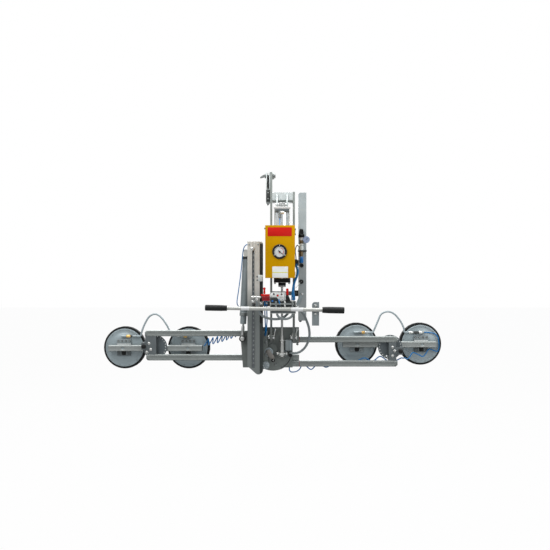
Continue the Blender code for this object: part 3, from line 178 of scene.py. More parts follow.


# Bare or painted metal: cloudy patches, fine grain along the bar, paler worn edges, and where shade is
# given, a painted highlight where the rounded surface faces up and painted shade where it faces down.
# The fade of painted shade is (height of the pale end, height of the dark end, colour of the dark end):
# below the pale end the colour darkens towards the dark end, as painted shade.
def steelFinish(name, dull, pale, rough, metal, grain=(1, 1, 1), mottle=26, edgeGlow=0.35, fade=None,
        rounding=0.003, shade=0.0):
    paint = Paint(name)
    clouds = paint.noise(mottle, 4.0, 0.6)
    grainy = paint.noise(420, 2.0, 0.5, grain)
    tone = paint.blend((clouds * 0.75 + grainy * 0.35).above(0.34, 0.42), dull, pale)
    worn = paint.edges(0.0016)
    edge = tuple(min(1.0, c * 1.5 + 0.08) for c in pale)
    # Painted shade: the colour grows darker towards the bottom of the piece.
    if fade:
        high, low, shadedEnd = fade
        fall = paint.node("ShaderNodeMapRange", {"clamp": True, "interpolation_type": "SMOOTHSTEP"},
            {0: paint.split()[2], 1: low, 2: high, 3: 1.0, 4: 0.0})
        tone = paint.blend(fall, tone, shadedEnd)
        edgeGlow = (1.0 - fall * 0.6) * edgeGlow
    # Painted highlight on what faces up and painted shade on what faces down, as if light fell from above.
    if shade:
        upper = paint.upward(shade)
        tone = paint.blend(upper.above(0.06, 0.5), tone, tuple(min(1.0, c * 2.1) for c in pale))
        tone = paint.blend((0.0 - upper).above(0.0, 0.5), tone, tuple(c * 0.3 for c in dull))
    paint.set("Base Color", paint.blend(worn * edgeGlow, tone, edge))
    paint.set("Roughness", rough + (grainy - 0.5) * 0.22 - worn * 0.08)
    paint.set("Metallic", metal)
    paint.bump(grainy * 0.6 + clouds * 0.4, 0.0004, 0.35, rounding)
    return paint.material


# Moulded plastic, rubber or gloss paint: fine skin, a little dust on what faces up.
def plasticFinish(name, colour, rough, mottle=60, depth=0.0002, dust=0.06, coat=0.0, shine=0.22):
    paint = Paint(name)
    skin = paint.noise(900, 2.0, 0.6)
    smudge = paint.noise(mottle, 4.0, 0.6)
    facing = paint.node("ShaderNodeNewGeometry", {}, {}, "Normal")
    up = paint.node("ShaderNodeSeparateXYZ", {}, {"Vector": facing}, 2)
    dusty = up.above(0.2, 0.8) * smudge.above(0.35, 0.4)
    worn = paint.edges(0.0012)
    pale = tuple(min(1.0, c * 1.3 + 0.05) for c in colour)
    tone = paint.blend(smudge.above(0.4, 0.4) * 0.5, colour, tuple(c * 0.8 for c in colour))
    paint.set("Base Color", paint.blend((dusty * dust * 4 + worn * 0.3), tone, pale))
    paint.set("Roughness", rough + (smudge - 0.5) * 0.25 + dusty * 0.1)
    paint.set("Coat Weight", coat)
    paint.set("Specular IOR Level", shine)
    paint.bump(skin, depth, 0.4)
    return paint.material


# Hose wall with a fine skin and a little clear gloss.
def hoseFinish(name, colour, ribs, rough):
    paint = Paint(name)
    smudge = paint.noise(30, 3.0)
    skin = paint.noise(ribs, 2.0, 0.5)
    paint.set("Base Color", paint.blend(smudge.above(0.35, 0.4), tuple(c * 0.82 for c in colour), colour))
    paint.set("Roughness", rough + (smudge - 0.5) * 0.2)
    paint.set("Coat Weight", 0.08)
    paint.set("Specular IOR Level", 0.3)
    paint.bump(skin, 0.0006, 0.4)
    return paint.material


# What each finish says: the rest is the default of its function.
steels = {
    "zinc": dict(dull=(0.15, 0.163, 0.158), pale=(0.245, 0.262, 0.255), rough=0.42, metal=0.55,
        grain=(0.06, 1, 1), mottle=20),
    # tubeZinc and barZinc paint a highlight along the rounded top of each tube and shade along its
    # underside.
    "tubeZinc": dict(dull=(0.165, 0.18, 0.172), pale=(0.215, 0.232, 0.222), rough=0.45, metal=0.4,
        grain=(0.06, 1, 1), mottle=9, rounding=0.004, shade=0.018),
    "barZinc": dict(dull=(0.215, 0.23, 0.222), pale=(0.275, 0.292, 0.282), rough=0.45, metal=0.3,
        grain=(0.06, 1, 1), mottle=9, edgeGlow=0.45, rounding=0.004, shade=0.016),
    # mastZinc, postPaint and framePale darken towards their foot, as painted shade.
    "mastZinc": dict(dull=(0.48, 0.47, 0.435), pale=(0.66, 0.645, 0.595), rough=0.38, metal=0.25,
        grain=(1, 1, 0.05), mottle=14, edgeGlow=0.3, fade=(-0.72, -0.95, (0.158, 0.172, 0.166))),
    "grey_paint": dict(dull=(0.165, 0.19, 0.195), pale=(0.235, 0.265, 0.27), rough=0.45, metal=0.25,
        mottle=12, edgeGlow=0.25),
    "headGrey": dict(dull=(0.105, 0.117, 0.108), pale=(0.175, 0.192, 0.18), rough=0.4, metal=0.3,
        mottle=9),
    "discSteel": dict(dull=(0.075, 0.09, 0.097), pale=(0.125, 0.144, 0.152), rough=0.38, metal=0.5,
        mottle=16, edgeGlow=0.5),
    "beamPaint": dict(dull=(0.52, 0.56, 0.55), pale=(0.66, 0.7, 0.69), rough=0.4, metal=0.25, mottle=10,
        edgeGlow=0.3),
    "postPaint": dict(dull=(0.33, 0.375, 0.38), pale=(0.44, 0.485, 0.49), rough=0.4, metal=0.2, mottle=9,
        edgeGlow=0.3, fade=(-0.45, -0.95, (0.3, 0.325, 0.325))),
    "framePale": dict(dull=(0.225, 0.25, 0.232), pale=(0.335, 0.36, 0.34), rough=0.4, metal=0.35,
        grain=(1, 1, 0.1), mottle=12, fade=(-0.35, -0.8, (0.145, 0.155, 0.146))),
    "dark_steel": dict(dull=(0.02, 0.022, 0.021), pale=(0.042, 0.046, 0.044), rough=0.42, metal=0.35),
    "handlebarSteel": dict(dull=(0.34, 0.345, 0.32), pale=(0.46, 0.465, 0.44), rough=0.45, metal=0.35,
        grain=(0.06, 1, 1), mottle=14, edgeGlow=0.1, rounding=0.0),
    "chrome": dict(dull=(0.74, 0.75, 0.74), pale=(0.86, 0.87, 0.86), rough=0.16, metal=0.95,
        grain=(1, 1, 0.04), mottle=14, edgeGlow=0.1, rounding=0.0),
    "bright_steel": dict(dull=(0.5, 0.5, 0.475), pale=(0.66, 0.66, 0.635), rough=0.24, metal=0.92,
        grain=(0.04, 1, 1), mottle=14, edgeGlow=0.2),
    "plate_blue_grey": dict(dull=(0.23, 0.27, 0.285), pale=(0.315, 0.36, 0.375), rough=0.42, metal=0.35,
        mottle=9, edgeGlow=0.3),
    "brass": dict(dull=(0.36, 0.215, 0.06), pale=(0.55, 0.35, 0.13), rough=0.3, metal=0.85),
    "oldBrass": dict(dull=(0.115, 0.08, 0.04), pale=(0.2, 0.145, 0.08), rough=0.4, metal=0.7),
    "panelPale": dict(dull=(0.56, 0.57, 0.55), pale=(0.7, 0.71, 0.69), rough=0.34, metal=0.15, mottle=22,
        edgeGlow=0.2),
    "darkPaint": dict(dull=(0.085, 0.098, 0.102), pale=(0.13, 0.148, 0.152), rough=0.42, metal=0.3,
        mottle=18, edgeGlow=0.3),
    "sideDark": dict(dull=(0.01, 0.014, 0.013), pale=(0.026, 0.033, 0.031), rough=0.45, metal=0.2,
        mottle=12, edgeGlow=0.2),
    "handleBrown": dict(dull=(0.14, 0.13, 0.115), pale=(0.2, 0.188, 0.17), rough=0.45, metal=0.3),
    "slotStrip": dict(dull=(0.045, 0.05, 0.054), pale=(0.11, 0.122, 0.128), rough=0.5, metal=0.2,
        mottle=60),
    "cupPaint": dict(dull=(0.225, 0.272, 0.285), pale=(0.325, 0.378, 0.396), rough=0.36, metal=0.25,
        mottle=5, edgeGlow=0.3),
}
plastics = {
    "yellow_paint": dict(colour=(0.53, 0.268, 0.0), rough=0.48, mottle=6, depth=0.0003, dust=0.0,
        shine=0.05),
    "knobBlack": dict(colour=(0.004, 0.004, 0.004), rough=0.5, dust=0.0, shine=0.12),
    "black_plastic": dict(colour=(0.008, 0.008, 0.008), rough=0.42, dust=0.03),
    "gripFoam": dict(colour=(0.007, 0.008, 0.008), rough=0.55, mottle=120, depth=0.0008, dust=0.03),
    "red_plastic": dict(colour=(0.54, 0.01, 0.006), rough=0.35, mottle=40, depth=0.0001, dust=0.0,
        shine=0.15),
    "whitePlate": dict(colour=(0.7, 0.71, 0.69), rough=0.4, mottle=20, depth=0.0001, dust=0.0),
    "rubber": dict(colour=(0.008, 0.009, 0.009), rough=0.6, mottle=24, depth=0.0005, dust=0.05),
    "cable": dict(colour=(0.014, 0.015, 0.016), rough=0.5),
    "lineYellow": dict(colour=(0.62, 0.6, 0.06), rough=0.4, mottle=30, depth=0.0001, dust=0.0),
    "dialFace": dict(colour=(0.6, 0.61, 0.6), rough=0.3, mottle=30, depth=0.0, dust=0.0, coat=0.5),
    "bowlBlue": dict(colour=(0.008, 0.135, 0.42), rough=0.25, mottle=40, depth=0.0001, dust=0.02,
        coat=0.5),
    "bowlPale": dict(colour=(0.27, 0.34, 0.5), rough=0.3, mottle=40, depth=0.0001, dust=0.02, coat=0.3),
    "darkRed": dict(colour=(0.22, 0.005, 0.01), rough=0.35, mottle=40, depth=0.0001, dust=0.02, coat=0.3),
    "bandPale": dict(colour=(0.62, 0.63, 0.63), rough=0.42, mottle=30, dust=0.0),
}
hoseWalls = {
    "hose_grey": dict(colour=(0.33, 0.385, 0.405), ribs=260, rough=0.4),
    "loopGrey": dict(colour=(0.2, 0.225, 0.23), ribs=320, rough=0.42),
    "hose_blue": dict(colour=(0.004, 0.15, 0.4), ribs=300, rough=0.32),
}


# The material of bright_steel is called brightSteel.
def materialName(look):
    first, *others = look.split("_")
    return first + "".join(word.capitalize() for word in others)


looks = {}
for finish, table in ((steelFinish, steels), (plasticFinish, plastics), (hoseFinish, hoseWalls)):
    for look, values in table.items():
        looks[look] = finish(materialName(look), **values)

print("finishes:", len(looks))

# Every carried-over CAD node gets the finish of the real piece.
nodeLooks = {"upright_left": "framePale", "upright_right": "framePale", "side_post": "postPaint",
    "end_post_left": "darkPaint", "end_post_right": "darkPaint", "lifting_pin": "zinc",
    "lifting_fork": "zinc", "tilt_cylinder": "bright_steel", "mast": "mastZinc", "mast_foot": "headGrey",
    "head_plate": "headGrey", "turn_plate": "headGrey", "cross_beam": "beamPaint",
    "handlebar": "handlebarSteel", "grip_left": "gripFoam", "grip_right": "gripFoam",
    "cup_bar_left": "barZinc", "cup_bar_right": "barZinc"}
for part in ("arm_tube_upper", "arm_tube_lower", "sleeve"):
    nodeLooks[f"{part}_left"] = nodeLooks[f"{part}_right"] = "tubeZinc"
slotOf = {node["node"]: node["material_slot"] for node in frame["record"]["subparts"]}
for name, node in frame["nodes"].items():
    look = nodeLooks.get(name, slotOf[name])
    node.data.materials.clear()
    node.data.materials.append(looks[look])


def letGo():
    if bpy.context.object and bpy.context.object.mode != "OBJECT":
        bpy.ops.object.mode_set(mode="OBJECT")
    bpy.ops.object.select_all(action="DESELECT")


# Only this piece selected, and active.
def pick(piece):
    letGo()
    piece.select_set(True)
    bpy.context.view_layer.objects.active = piece


# A round wire through the points, as a curve.
def curveThrough(name, points, radius, roundness):
    curve = bpy.data.curves.new(name, "CURVE")
    curve.dimensions = "3D"
    curve.bevel_depth, curve.bevel_resolution = radius, roundness
    curve.use_fill_caps = True
    spline = curve.splines.new("POLY")
    spline.points.add(len(points) - 1)
    for point, place in zip(spline.points, points):
        point.co = (*place, 1)
    spline.use_smooth = True
    wire = bpy.data.objects.new(name, curve)
    scene.collection.objects.link(wire)
    return wire


# One smooth curve through the knots, square to its seat at both ends.
def smoothRoute(knots, lead):
    knots = [Vector(knot) for knot in knots]
    first, last = knots[0], knots[-1]
    ends = [2 * first - knots[1]] + knots + [2 * last - knots[-2]]
    route = [first, first + (knots[1] - first).normalized() * lead]
    for number in range(1, len(ends) - 2):
        a, b, c, d = ends[number - 1:number + 3]
        for step in range(10):
            t = step / 10
            point = 2 * b + (c - a) * t + (2 * a - 5 * b + 4 * c - d) * t * t
            point = 0.5 * (point + (3 * b - a - 3 * c + d) * t ** 3)
            if (point - first).length > lead * 1.5 and (point - last).length > lead * 1.5:
                route.append(point)
    return route + [last + (knots[-2] - last).normalized() * lead, last]


# body is one body, or (near body, far body, start, end) for a hose across a joint; such a hose is made a
# mesh where it lies, and the tuple's bodies and points are not used.
def addHose(name, knots, radius, look, body, replaces=None, spin=False):
    route = knots if spin else smoothRoute(knots, radius)
    hose = curveThrough(name, route, radius, 5)
    hose.data.materials.append(looks[look])
    if isinstance(body, tuple):
        pick(hose)
        bpy.ops.object.convert(target="MESH")
        hose = bpy.context.object
        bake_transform(hose)
    else:
        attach(hose, body)
    if replaces:
        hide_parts(replaces)
    return hose


# Cords first. Six hoses have the knots of the solids that they stand for, but for two knots of the inner
# blue hose, up to half a millimetre off. The seventh, the coil, winds along its solid.
leftZ, rightZ, hoseY, tubeBackY = -1.112, -1.0855, 0.157, 0.1093
addHose("arcHoseLeft", [(-0.9702, hoseY, leftZ), (-0.9562, hoseY, leftZ),
    (-0.9402, hoseY, leftZ + 0.005), (-0.928, hoseY, -1.066), (-0.908, hoseY, -1.018),
    (-0.878, hoseY, -0.972), (-0.838, hoseY, -0.955), (-0.8, hoseY, -0.974), (-0.765, hoseY, -1.018),
    (-0.738, hoseY, -1.066), (-0.7198, hoseY, leftZ + 0.005), (-0.7038, hoseY, leftZ),
    (-0.6898, hoseY, leftZ)], 0.0065, "hose_grey", "cup_bar_left",
    replaces="arc_hose_left")
addHose("arcHoseRight", [(0.6833, hoseY, rightZ), (0.6973, hoseY, rightZ),
    (0.7113, hoseY, rightZ + 0.005), (0.725, hoseY, -1.052), (0.745, hoseY, -1.005),
    (0.77, hoseY, -0.955), (0.815, hoseY, -0.938), (0.862, hoseY, -0.955), (0.905, hoseY, -1.005),
    (0.928, hoseY, -1.052), (0.9337, hoseY, rightZ + 0.005), (0.9497, hoseY, rightZ),
    (0.9637, hoseY, rightZ)], 0.0065, "hose_grey", "cup_bar_right",
    replaces="arc_hose_right")
addHose("waveHoseOuter", [(1.0723, hoseY, rightZ), (1.1, hoseY, rightZ), (1.145, hoseY, -1.093),
    (1.172, 0.156, -1.12), (1.177, 0.154, -1.155), (1.177, 0.152, -1.195), (1.165, 0.15, -1.219),
    (1.138, 0.146, -1.212), (1.104, 0.14, -1.203), (1.08, 0.134, -1.234), (1.058, 0.13, -1.253),
    (1.022, 0.124, -1.238), (0.986, 0.119, -1.226), (0.96, 0.113, -1.258), (0.943, tubeBackY, -1.268),
    (0.93, tubeBackY, -1.2625), (0.9153, tubeBackY, -1.2625)], 0.004, "hose_blue",
    ("cup_bar_right", "arm_right", (0.99, 0.12, -1.24), (0.92, 0.11, -1.262)),
    replaces="wave_hose_outer")
addHose("waveHoseInner", [(0.915, tubeBackY, -1.2625), (0.9, tubeBackY, -1.2625),
    (0.862, tubeBackY, -1.279), (0.805, tubeBackY, -1.279), (0.753, tubeBackY, -1.251),
    (0.7, tubeBackY, -1.284), (0.64, tubeBackY, -1.262), (0.57, tubeBackY, -1.292),
    (0.5, tubeBackY, -1.29), (0.43, tubeBackY, -1.297), (0.372, tubeBackY, -1.327),
    (0.32, tubeBackY, -1.296), (0.268, tubeBackY, -1.342), (0.215, tubeBackY, -1.304),
    (0.186, tubeBackY, -1.341), (0.162, 0.106, -1.3567), (0.128, 0.092, -1.3575),
    (0.1149, 0.085, -1.343), (0.1149, 0.085, -1.3211)], 0.004, "hose_blue", "arm_right",
    replaces="wave_hose_inner")
addHose("loopHose", [
    (0.1503, -0.175, -0.91), (0.168, -0.175, -0.91), (0.2, -0.162, -0.938), (0.226, -0.13, -0.99),
    (0.243, -0.095, -1.045), (0.246, -0.055, -1.105), (0.226, -0.02, -1.165), (0.19, 0.005, -1.205),
    (0.15, 0.004, -1.217), (0.122, 0.015, -1.215), (0.118, 0.027, -1.214), (0.118, 0.0397, -1.214)],
    0.0082, "loopGrey", ("frame", "head", (0.215, -0.145, -0.96), (0.19, 0.005, -1.205)),
    replaces="loop_hose")
addHose("barHose", [(-0.1046, -0.2082, -0.8393), (-0.1046, -0.2082, -0.8643), (-0.098, -0.196, -0.905),
    (-0.072, -0.188, -0.948), (-0.03, -0.186, -0.968), (0.02, -0.186, -0.973), (0.06, -0.186, -0.966),
    (0.093, -0.187, -0.942), (0.114, -0.188, -0.911), (0.126, -0.188, -0.91), (0.1352, -0.188, -0.91)],
    0.0082, "loopGrey", "frame", replaces="bar_hose")

coil = {"start": (-0.478, -1.1535), "end": (-0.256, -1.09), "y": 0.1295, "radius": 0.0215, "turns": 7,
    "hose": 0.004}
coilRoute = []
steps = coil["turns"] * 20
for step in range(steps + 1):
    share = step / steps
    angle = 2 * pi * coil["turns"] * share - pi / 2
    middle = Vector(coil["start"]).lerp(Vector(coil["end"]), share + 0.035 * sin(angle))
    bend = -0.006 * sin(pi * share)
    coilRoute.append((middle.x, coil["y"] + coil["radius"] * cos(angle) * 0.98,
        middle.y + bend + coil["radius"] * sin(angle)))
addHose("coilHoseLeft", coilRoute, coil["hose"], "hose_blue", "arm_left",
    replaces="coil_hose_left", spin=True)

# Thin tubes that the part leaves to the looks.
addHose("cylinderFeedTube", [
    (0.0455, -0.1155, -0.294), (0.0455, -0.1165, -0.306), (0.0452, -0.128, -0.322), (0.0448, -0.148, -0.34),
    (0.0445, -0.163, -0.352), (0.0445, -0.168, -0.3612)], 0.0027, "hose_blue",
    ("tilt_cylinder", "frame", (0.0455, -0.1165, -0.308), (0.0445, -0.163, -0.354)))
addHose("boxTubeOne", [
    (0.149, -0.18, -0.608), (0.149, -0.18, -0.622), (0.158, -0.18, -0.65), (0.154, -0.182, -0.69),
    (0.136, -0.186, -0.735), (0.128, -0.19, -0.79), (0.125, -0.194, -0.832), (0.125, -0.194, -0.849)],
    0.0042, "hose_blue", "frame")
addHose("boxTubeTwo", [
    (0.157, -0.192, -0.608), (0.157, -0.192, -0.622), (0.165, -0.194, -0.65), (0.159, -0.198, -0.69),
    (0.142, -0.201, -0.735), (0.134, -0.203, -0.79), (0.134, -0.202, -0.832), (0.134, -0.202, -0.849)],
    0.0042, "hose_blue", "frame")
addHose("boxTubeThree", [
    (0.156, -0.17, -0.608), (0.156, -0.17, -0.622), (0.167, -0.172, -0.65), (0.162, -0.176, -0.69),
    (0.144, -0.184, -0.735), (0.137, -0.19, -0.79), (0.143, -0.194, -0.832), (0.143, -0.194, -0.849)],
    0.0042, "hose_blue", "frame")
addHose("regulatorTube", [
    (0.1705, -0.0455, -0.48), (0.164, -0.048, -0.48), (0.156, -0.075, -0.492), (0.15, -0.11, -0.515),
    (0.15, -0.15, -0.545), (0.152, -0.178, -0.562), (0.152, -0.185, -0.574), (0.152, -0.185, -0.581)],
    0.0032, "cable", "frame")
addHose("smallLoop", [
    (0.028, -0.214, -0.9352), (0.0285, -0.2138, -0.942), (0.038, -0.212, -0.957), (0.058, -0.21, -0.968),
    (0.08, -0.209, -0.971), (0.102, -0.21, -0.967), (0.121, -0.212, -0.956), (0.1295, -0.2138, -0.942),
    (0.13, -0.214, -0.9352)], 0.0078, "loopGrey", "frame")
addHose("panelTube", [
    (0.0401, -0.227, -0.844), (0.0401, -0.232, -0.847), (0.041, -0.235, -0.856), (0.044, -0.234, -0.868),
    (0.048, -0.23, -0.878), (0.049, -0.226, -0.882), (0.049, -0.2224, -0.883)], 0.004, "hose_blue", "frame")
for number, (offset, drop) in enumerate(((0.0, 0.0), (0.013, 0.01))):
    addHose(f"headTube{'AB'[number]}", [(-0.052 + offset, -0.205, -0.853),
        (-0.052 + offset, -0.205, -0.87), (-0.053 + offset, -0.185, -0.915),
        (-0.052 + offset, -0.14, -0.975 - drop), (-0.05 + offset * 0.4, -0.08, -1.04 - drop),
        (-0.054 + offset * 0.2, -0.03, -1.08 - drop), (-0.058, 0.01 - drop, -1.096),
        (-0.058 - offset, 0.024, -1.102), (-0.058 - offset, 0.0397, -1.102)], 0.004, "hose_blue",
        ("frame", "head", (-0.053, -0.19, -0.905), (-0.056, 0.0, -1.092)))
addHose("rotationTube", [
    (-0.172, -0.045, -0.476), (-0.182, -0.045, -0.476), (-0.198, -0.03, -0.495), (-0.207, -0.012, -0.535),
    (-0.214, -0.006, -0.61), (-0.224, -0.008, -0.7), (-0.236, -0.012, -0.79), (-0.246, -0.012, -0.862),
    (-0.24, -0.002, -0.89), (-0.228, 0.006, -0.9)], 0.0032, "hose_blue",
    ("head", "rotation_cylinder", (-0.2, -0.025, -0.5), (-0.244, -0.01, -0.86)))
addHose("lockCable", [
    (0.121, 0.012, -1.232), (0.121, 0.01, -1.24), (0.116, 0.014, -1.262), (0.1, 0.02, -1.288),
    (0.08, 0.028, -1.308), (0.066, 0.034, -1.316), (0.058, 0.0397, -1.318)], 0.0026, "cable", "head")
print("cords laid")


# Directions that pieces are turned or bolted along.
toFront, toBack = (0, -1, 0), (0, 1, 0)
toLeft, toRight = (-1, 0, 0), (1, 0, 0)
skyward, downward = (0, 0, 1), (0, 0, -1)


# Making tools. Each works as by hand: a primitive, edit mode, modifiers.
def applyPlace(piece):
    pick(piece)
    bpy.ops.object.transform_apply(location=True, rotation=True, scale=True)


def roundEdges(piece, width, segments=2, angle=32):
    if not width:
        return
    modifier = piece.modifiers.new("Bevel", "BEVEL")
    modifier.width, modifier.segments = width, segments
    modifier.limit_method, modifier.angle_limit = "ANGLE", radians(angle)
    pick(piece)
    bpy.ops.object.modifier_apply(modifier="Bevel")


def done(piece, name, look, body, stands=()):
    pick(piece)
    piece.name = piece.data.name = name
    bpy.ops.object.mode_set(mode="EDIT")
    bpy.ops.mesh.select_all(action="SELECT")
    bpy.ops.mesh.normals_make_consistent(inside=False)
    bpy.ops.object.mode_set(mode="OBJECT")
    bpy.ops.object.shade_smooth_by_angle(angle=radians(35))
    piece.data.materials.clear()
    piece.data.materials.append(looks[look])
    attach(piece, body)
    for node in stands:
        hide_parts(node)
    return piece


# lean is (foot, axis, degrees): the piece is turned about a line through foot.
def leanOver(piece, lean):
    if lean:
        foot, axis, angle = lean
        pick(piece)
        scene.cursor.location = foot
        bpy.ops.object.origin_set(type="ORIGIN_CURSOR")
        piece.rotation_euler = [radians(angle) if letter == axis else 0 for letter in "XYZ"]
        applyPlace(piece)
        scene.cursor.location = (0, 0, 0)


def addBlock(name, low, high, look, body, bevel=0.0015, lean=None, stands=()):
    letGo()
    low, high = Vector(low), Vector(high)
    bpy.ops.mesh.primitive_cube_add(size=1, location=(low + high) / 2)
    piece = bpy.context.object
    piece.scale = high - low
    applyPlace(piece)
    roundEdges(piece, bevel)
    leanOver(piece, lean)
    return done(piece, name, look, body, stands)


# A turned piece: steps are (distance along the direction, radius), from its start to its end.
def turn(steps, start, direction, sides):
    letGo()
    axis = Vector(direction).normalized()
    start = Vector(start)
    distance, radius = steps[0]
    angles = Vector(skyward).rotation_difference(axis).to_euler()
    bpy.ops.mesh.primitive_circle_add(vertices=sides, radius=radius, fill_type="NGON",
        location=start + axis * distance, rotation=angles)
    piece = bpy.context.object
    applyPlace(piece)
    bpy.ops.object.mode_set(mode="EDIT")
    bpy.ops.mesh.select_all(action="SELECT")
    for far, wide in steps[1:]:
        bpy.ops.mesh.extrude_region_move(TRANSFORM_OT_translate={"value": axis * (far - distance)})
        if wide != radius:
            ratio = wide / radius
            bpy.ops.transform.resize(value=(ratio, ratio, ratio), center_override=start + axis * far)
        distance, radius = far, wide
    bpy.ops.object.mode_set(mode="OBJECT")
    return piece


def addTurned(name, start, direction, steps, look, body, sides=32, bevel=0.0, lean=None, stands=()):
    piece = turn(steps, start, direction, sides)
    roundEdges(piece, bevel, angle=50)
    leanOver(piece, lean)
    return done(piece, name, look, body, stands)


# outline is (x, z) points, near and far are the two faces' places along Y.
def addPlate(name, outline, near, far, look, body, bevel, stands=()):
    letGo()
    bpy.ops.mesh.primitive_circle_add(vertices=len(outline), radius=0.01, fill_type="NGON")
    piece = bpy.context.object
    for vertex, (x, z) in zip(piece.data.vertices, outline):
        vertex.co = (x, near, z)
    bpy.ops.object.mode_set(mode="EDIT")
    bpy.ops.mesh.select_all(action="SELECT")
    bpy.ops.mesh.extrude_region_move(TRANSFORM_OT_translate={"value": (0, far - near, 0)})
    bpy.ops.object.mode_set(mode="OBJECT")
    roundEdges(piece, bevel)
    return done(piece, name, look, body, stands)


# A round hole along Y through a finished piece.
def boreHole(piece, middle, radius, depth):
    letGo()
    bpy.ops.mesh.primitive_cylinder_add(vertices=28, radius=radius, depth=depth, location=middle,
        rotation=(radians(90), 0, 0))
    drill = bpy.context.object
    modifier = piece.modifiers.new("Bore", "BOOLEAN")
    modifier.operation, modifier.object = "DIFFERENCE", drill
    pick(piece)
    bpy.ops.object.modifier_apply(modifier="Bore")
    bpy.data.objects.remove(drill)


def joinAll(pieces):
    letGo()
    for piece in pieces:
        piece.select_set(True)
    bpy.context.view_layer.objects.active = pieces[0]
    if len(pieces) > 1:
        bpy.ops.object.join()
    return bpy.context.object


# One modelled piece, copied to each place, joined as one object.
def copiesOf(master, places):
    copies = []
    for place in places:
        twin = master.copy()
        twin.data = master.data.copy()
        twin.location = place
        scene.collection.objects.link(twin)
        copies.append(twin)
    bpy.data.objects.remove(master)
    whole = joinAll(copies)
    applyPlace(whole)
    return whole


# size is the head's radius. A hex head stands on a washer, a pan head is round with a small dent.
def addBolts(name, places, direction, size, look, body, kind="hex"):
    if kind == "hex":
        head = turn([(size * 0.22, size), (size * 0.85, size), (size * 0.95, size * 0.86)], (0, 0, 0),
            direction, 6)
        washer = turn([(-size * 0.15, size * 1.28), (size * 0.16, size * 1.28),
            (size * 0.22, size * 1.18)], (0, 0, 0), direction, 20)
        master = joinAll([head, washer])
    else:
        master = turn([(-size * 0.1, size), (size * 0.15, size), (size * 0.42, size * 0.72),
            (size * 0.5, size * 0.35), (size * 0.25, size * 0.3)], (0, 0, 0), direction, 18)
    return done(copiesOf(master, places), name, look, body)


def addRing(name, place, direction, major, minor, look, body):
    letGo()
    angles = Vector(skyward).rotation_difference(Vector(direction).normalized()).to_euler()
    bpy.ops.mesh.primitive_torus_add(location=place, rotation=angles, major_radius=major,
        minor_radius=minor, major_segments=40, minor_segments=10)
    piece = bpy.context.object
    applyPlace(piece)
    return done(piece, name, look, body)


# A bent wire: a curve with a round bevel, made a mesh.
def addWire(name, points, radius, look, body):
    pick(curveThrough(name, points, radius, 4))
    bpy.ops.object.convert(target="MESH")
    return done(bpy.context.object, name, look, body)


def roundedRect(low, high, radius, steps=5):
    points = []
    corners = ((high[0] - radius, high[1] - radius, 0), (low[0] + radius, high[1] - radius, 90),
        (low[0] + radius, low[1] + radius, 180), (high[0] - radius, low[1] + radius, 270))
    for x, z, first in corners:
        for step in range(steps + 1):
            angle = radians(first + 90 * step / steps)
            points.append((x + radius * cos(angle), z + radius * sin(angle)))
    return points


# An outline drawn about zero, moved to its middle.
def across(middle, points):
    return [(middle[0] + a, middle[1] + b) for a, b in points]


# Points round a circle that faces the front.
def around(x, y, z, radius, angles):
    return [(x + radius * cos(radians(a)), y, z + radius * sin(radians(a))) for a in angles]


# Floor and white studio
world = bpy.data.worlds.new("studio")
scene.world = world
world.use_nodes = True
worldTree = world.node_tree
worldTree.nodes.clear()


# A node of the world, its inputs given as values or as other nodes' outputs.
def worldNode(kind, inputs, operation=None):
    made = worldTree.nodes.new(kind)
    if operation:
        made.operation = operation
    for key, value in inputs.items():
        if isinstance(value, bpy.types.NodeSocket):
            worldTree.links.new(value, made.inputs[key])
        else:
            made.inputs[key].default_value = value
    return made


# The camera sees white; the lifter is lit by a softer, bluish sky, brighter where it mirrors.
sky = {"colour": (0.86, 0.9, 0.94, 1), "strength": 0.46, "mirrored": 0.42}
rays = worldNode("ShaderNodeLightPath", {}).outputs
seenDirect = worldNode("ShaderNodeMath", {0: rays["Is Camera Ray"], 1: rays["Is Transmission Ray"]},
    "MAXIMUM")
power = worldNode("ShaderNodeMath", {0: rays["Is Glossy Ray"], 1: sky["mirrored"], 2: sky["strength"]},
    "MULTIPLY_ADD")
plain = worldNode("ShaderNodeBackground", {"Color": sky["colour"], "Strength": power.outputs[0]})
white = worldNode("ShaderNodeBackground", {"Color": (1, 1, 1, 1), "Strength": 1.0})
choose = worldNode("ShaderNodeMixShader", {0: seenDirect.outputs[0], 1: plain.outputs[0],
    2: white.outputs[0]})
worldNode("ShaderNodeOutputWorld", {"Surface": choose.outputs[0]})

floorPaint = Paint("floor")
floorPaint.set("Base Color", (0.42, 0.42, 0.42))
floorPaint.set("Roughness", 0.9)
glow = floorPaint.node("ShaderNodeEmission", {}, {"Color": (1, 1, 1, 1), "Strength": 1.0})
seen = floorPaint.node("ShaderNodeLightPath", {}, {}, "Is Camera Ray") * 0.97
mixed = floorPaint.node("ShaderNodeMixShader", {}, {0: seen,
    1: Wire(floorPaint, floorPaint.shader.outputs[0]), 2: glow})
floorPaint.tree.links.new(mixed.socket, floorPaint.output.inputs["Surface"])
letGo()
bpy.ops.mesh.primitive_plane_add(size=60, location=(0, 0, -1.95))
floor = bpy.context.object
floor.name = "floor"
floor.data.materials.append(floorPaint.material)
print("studio ready")

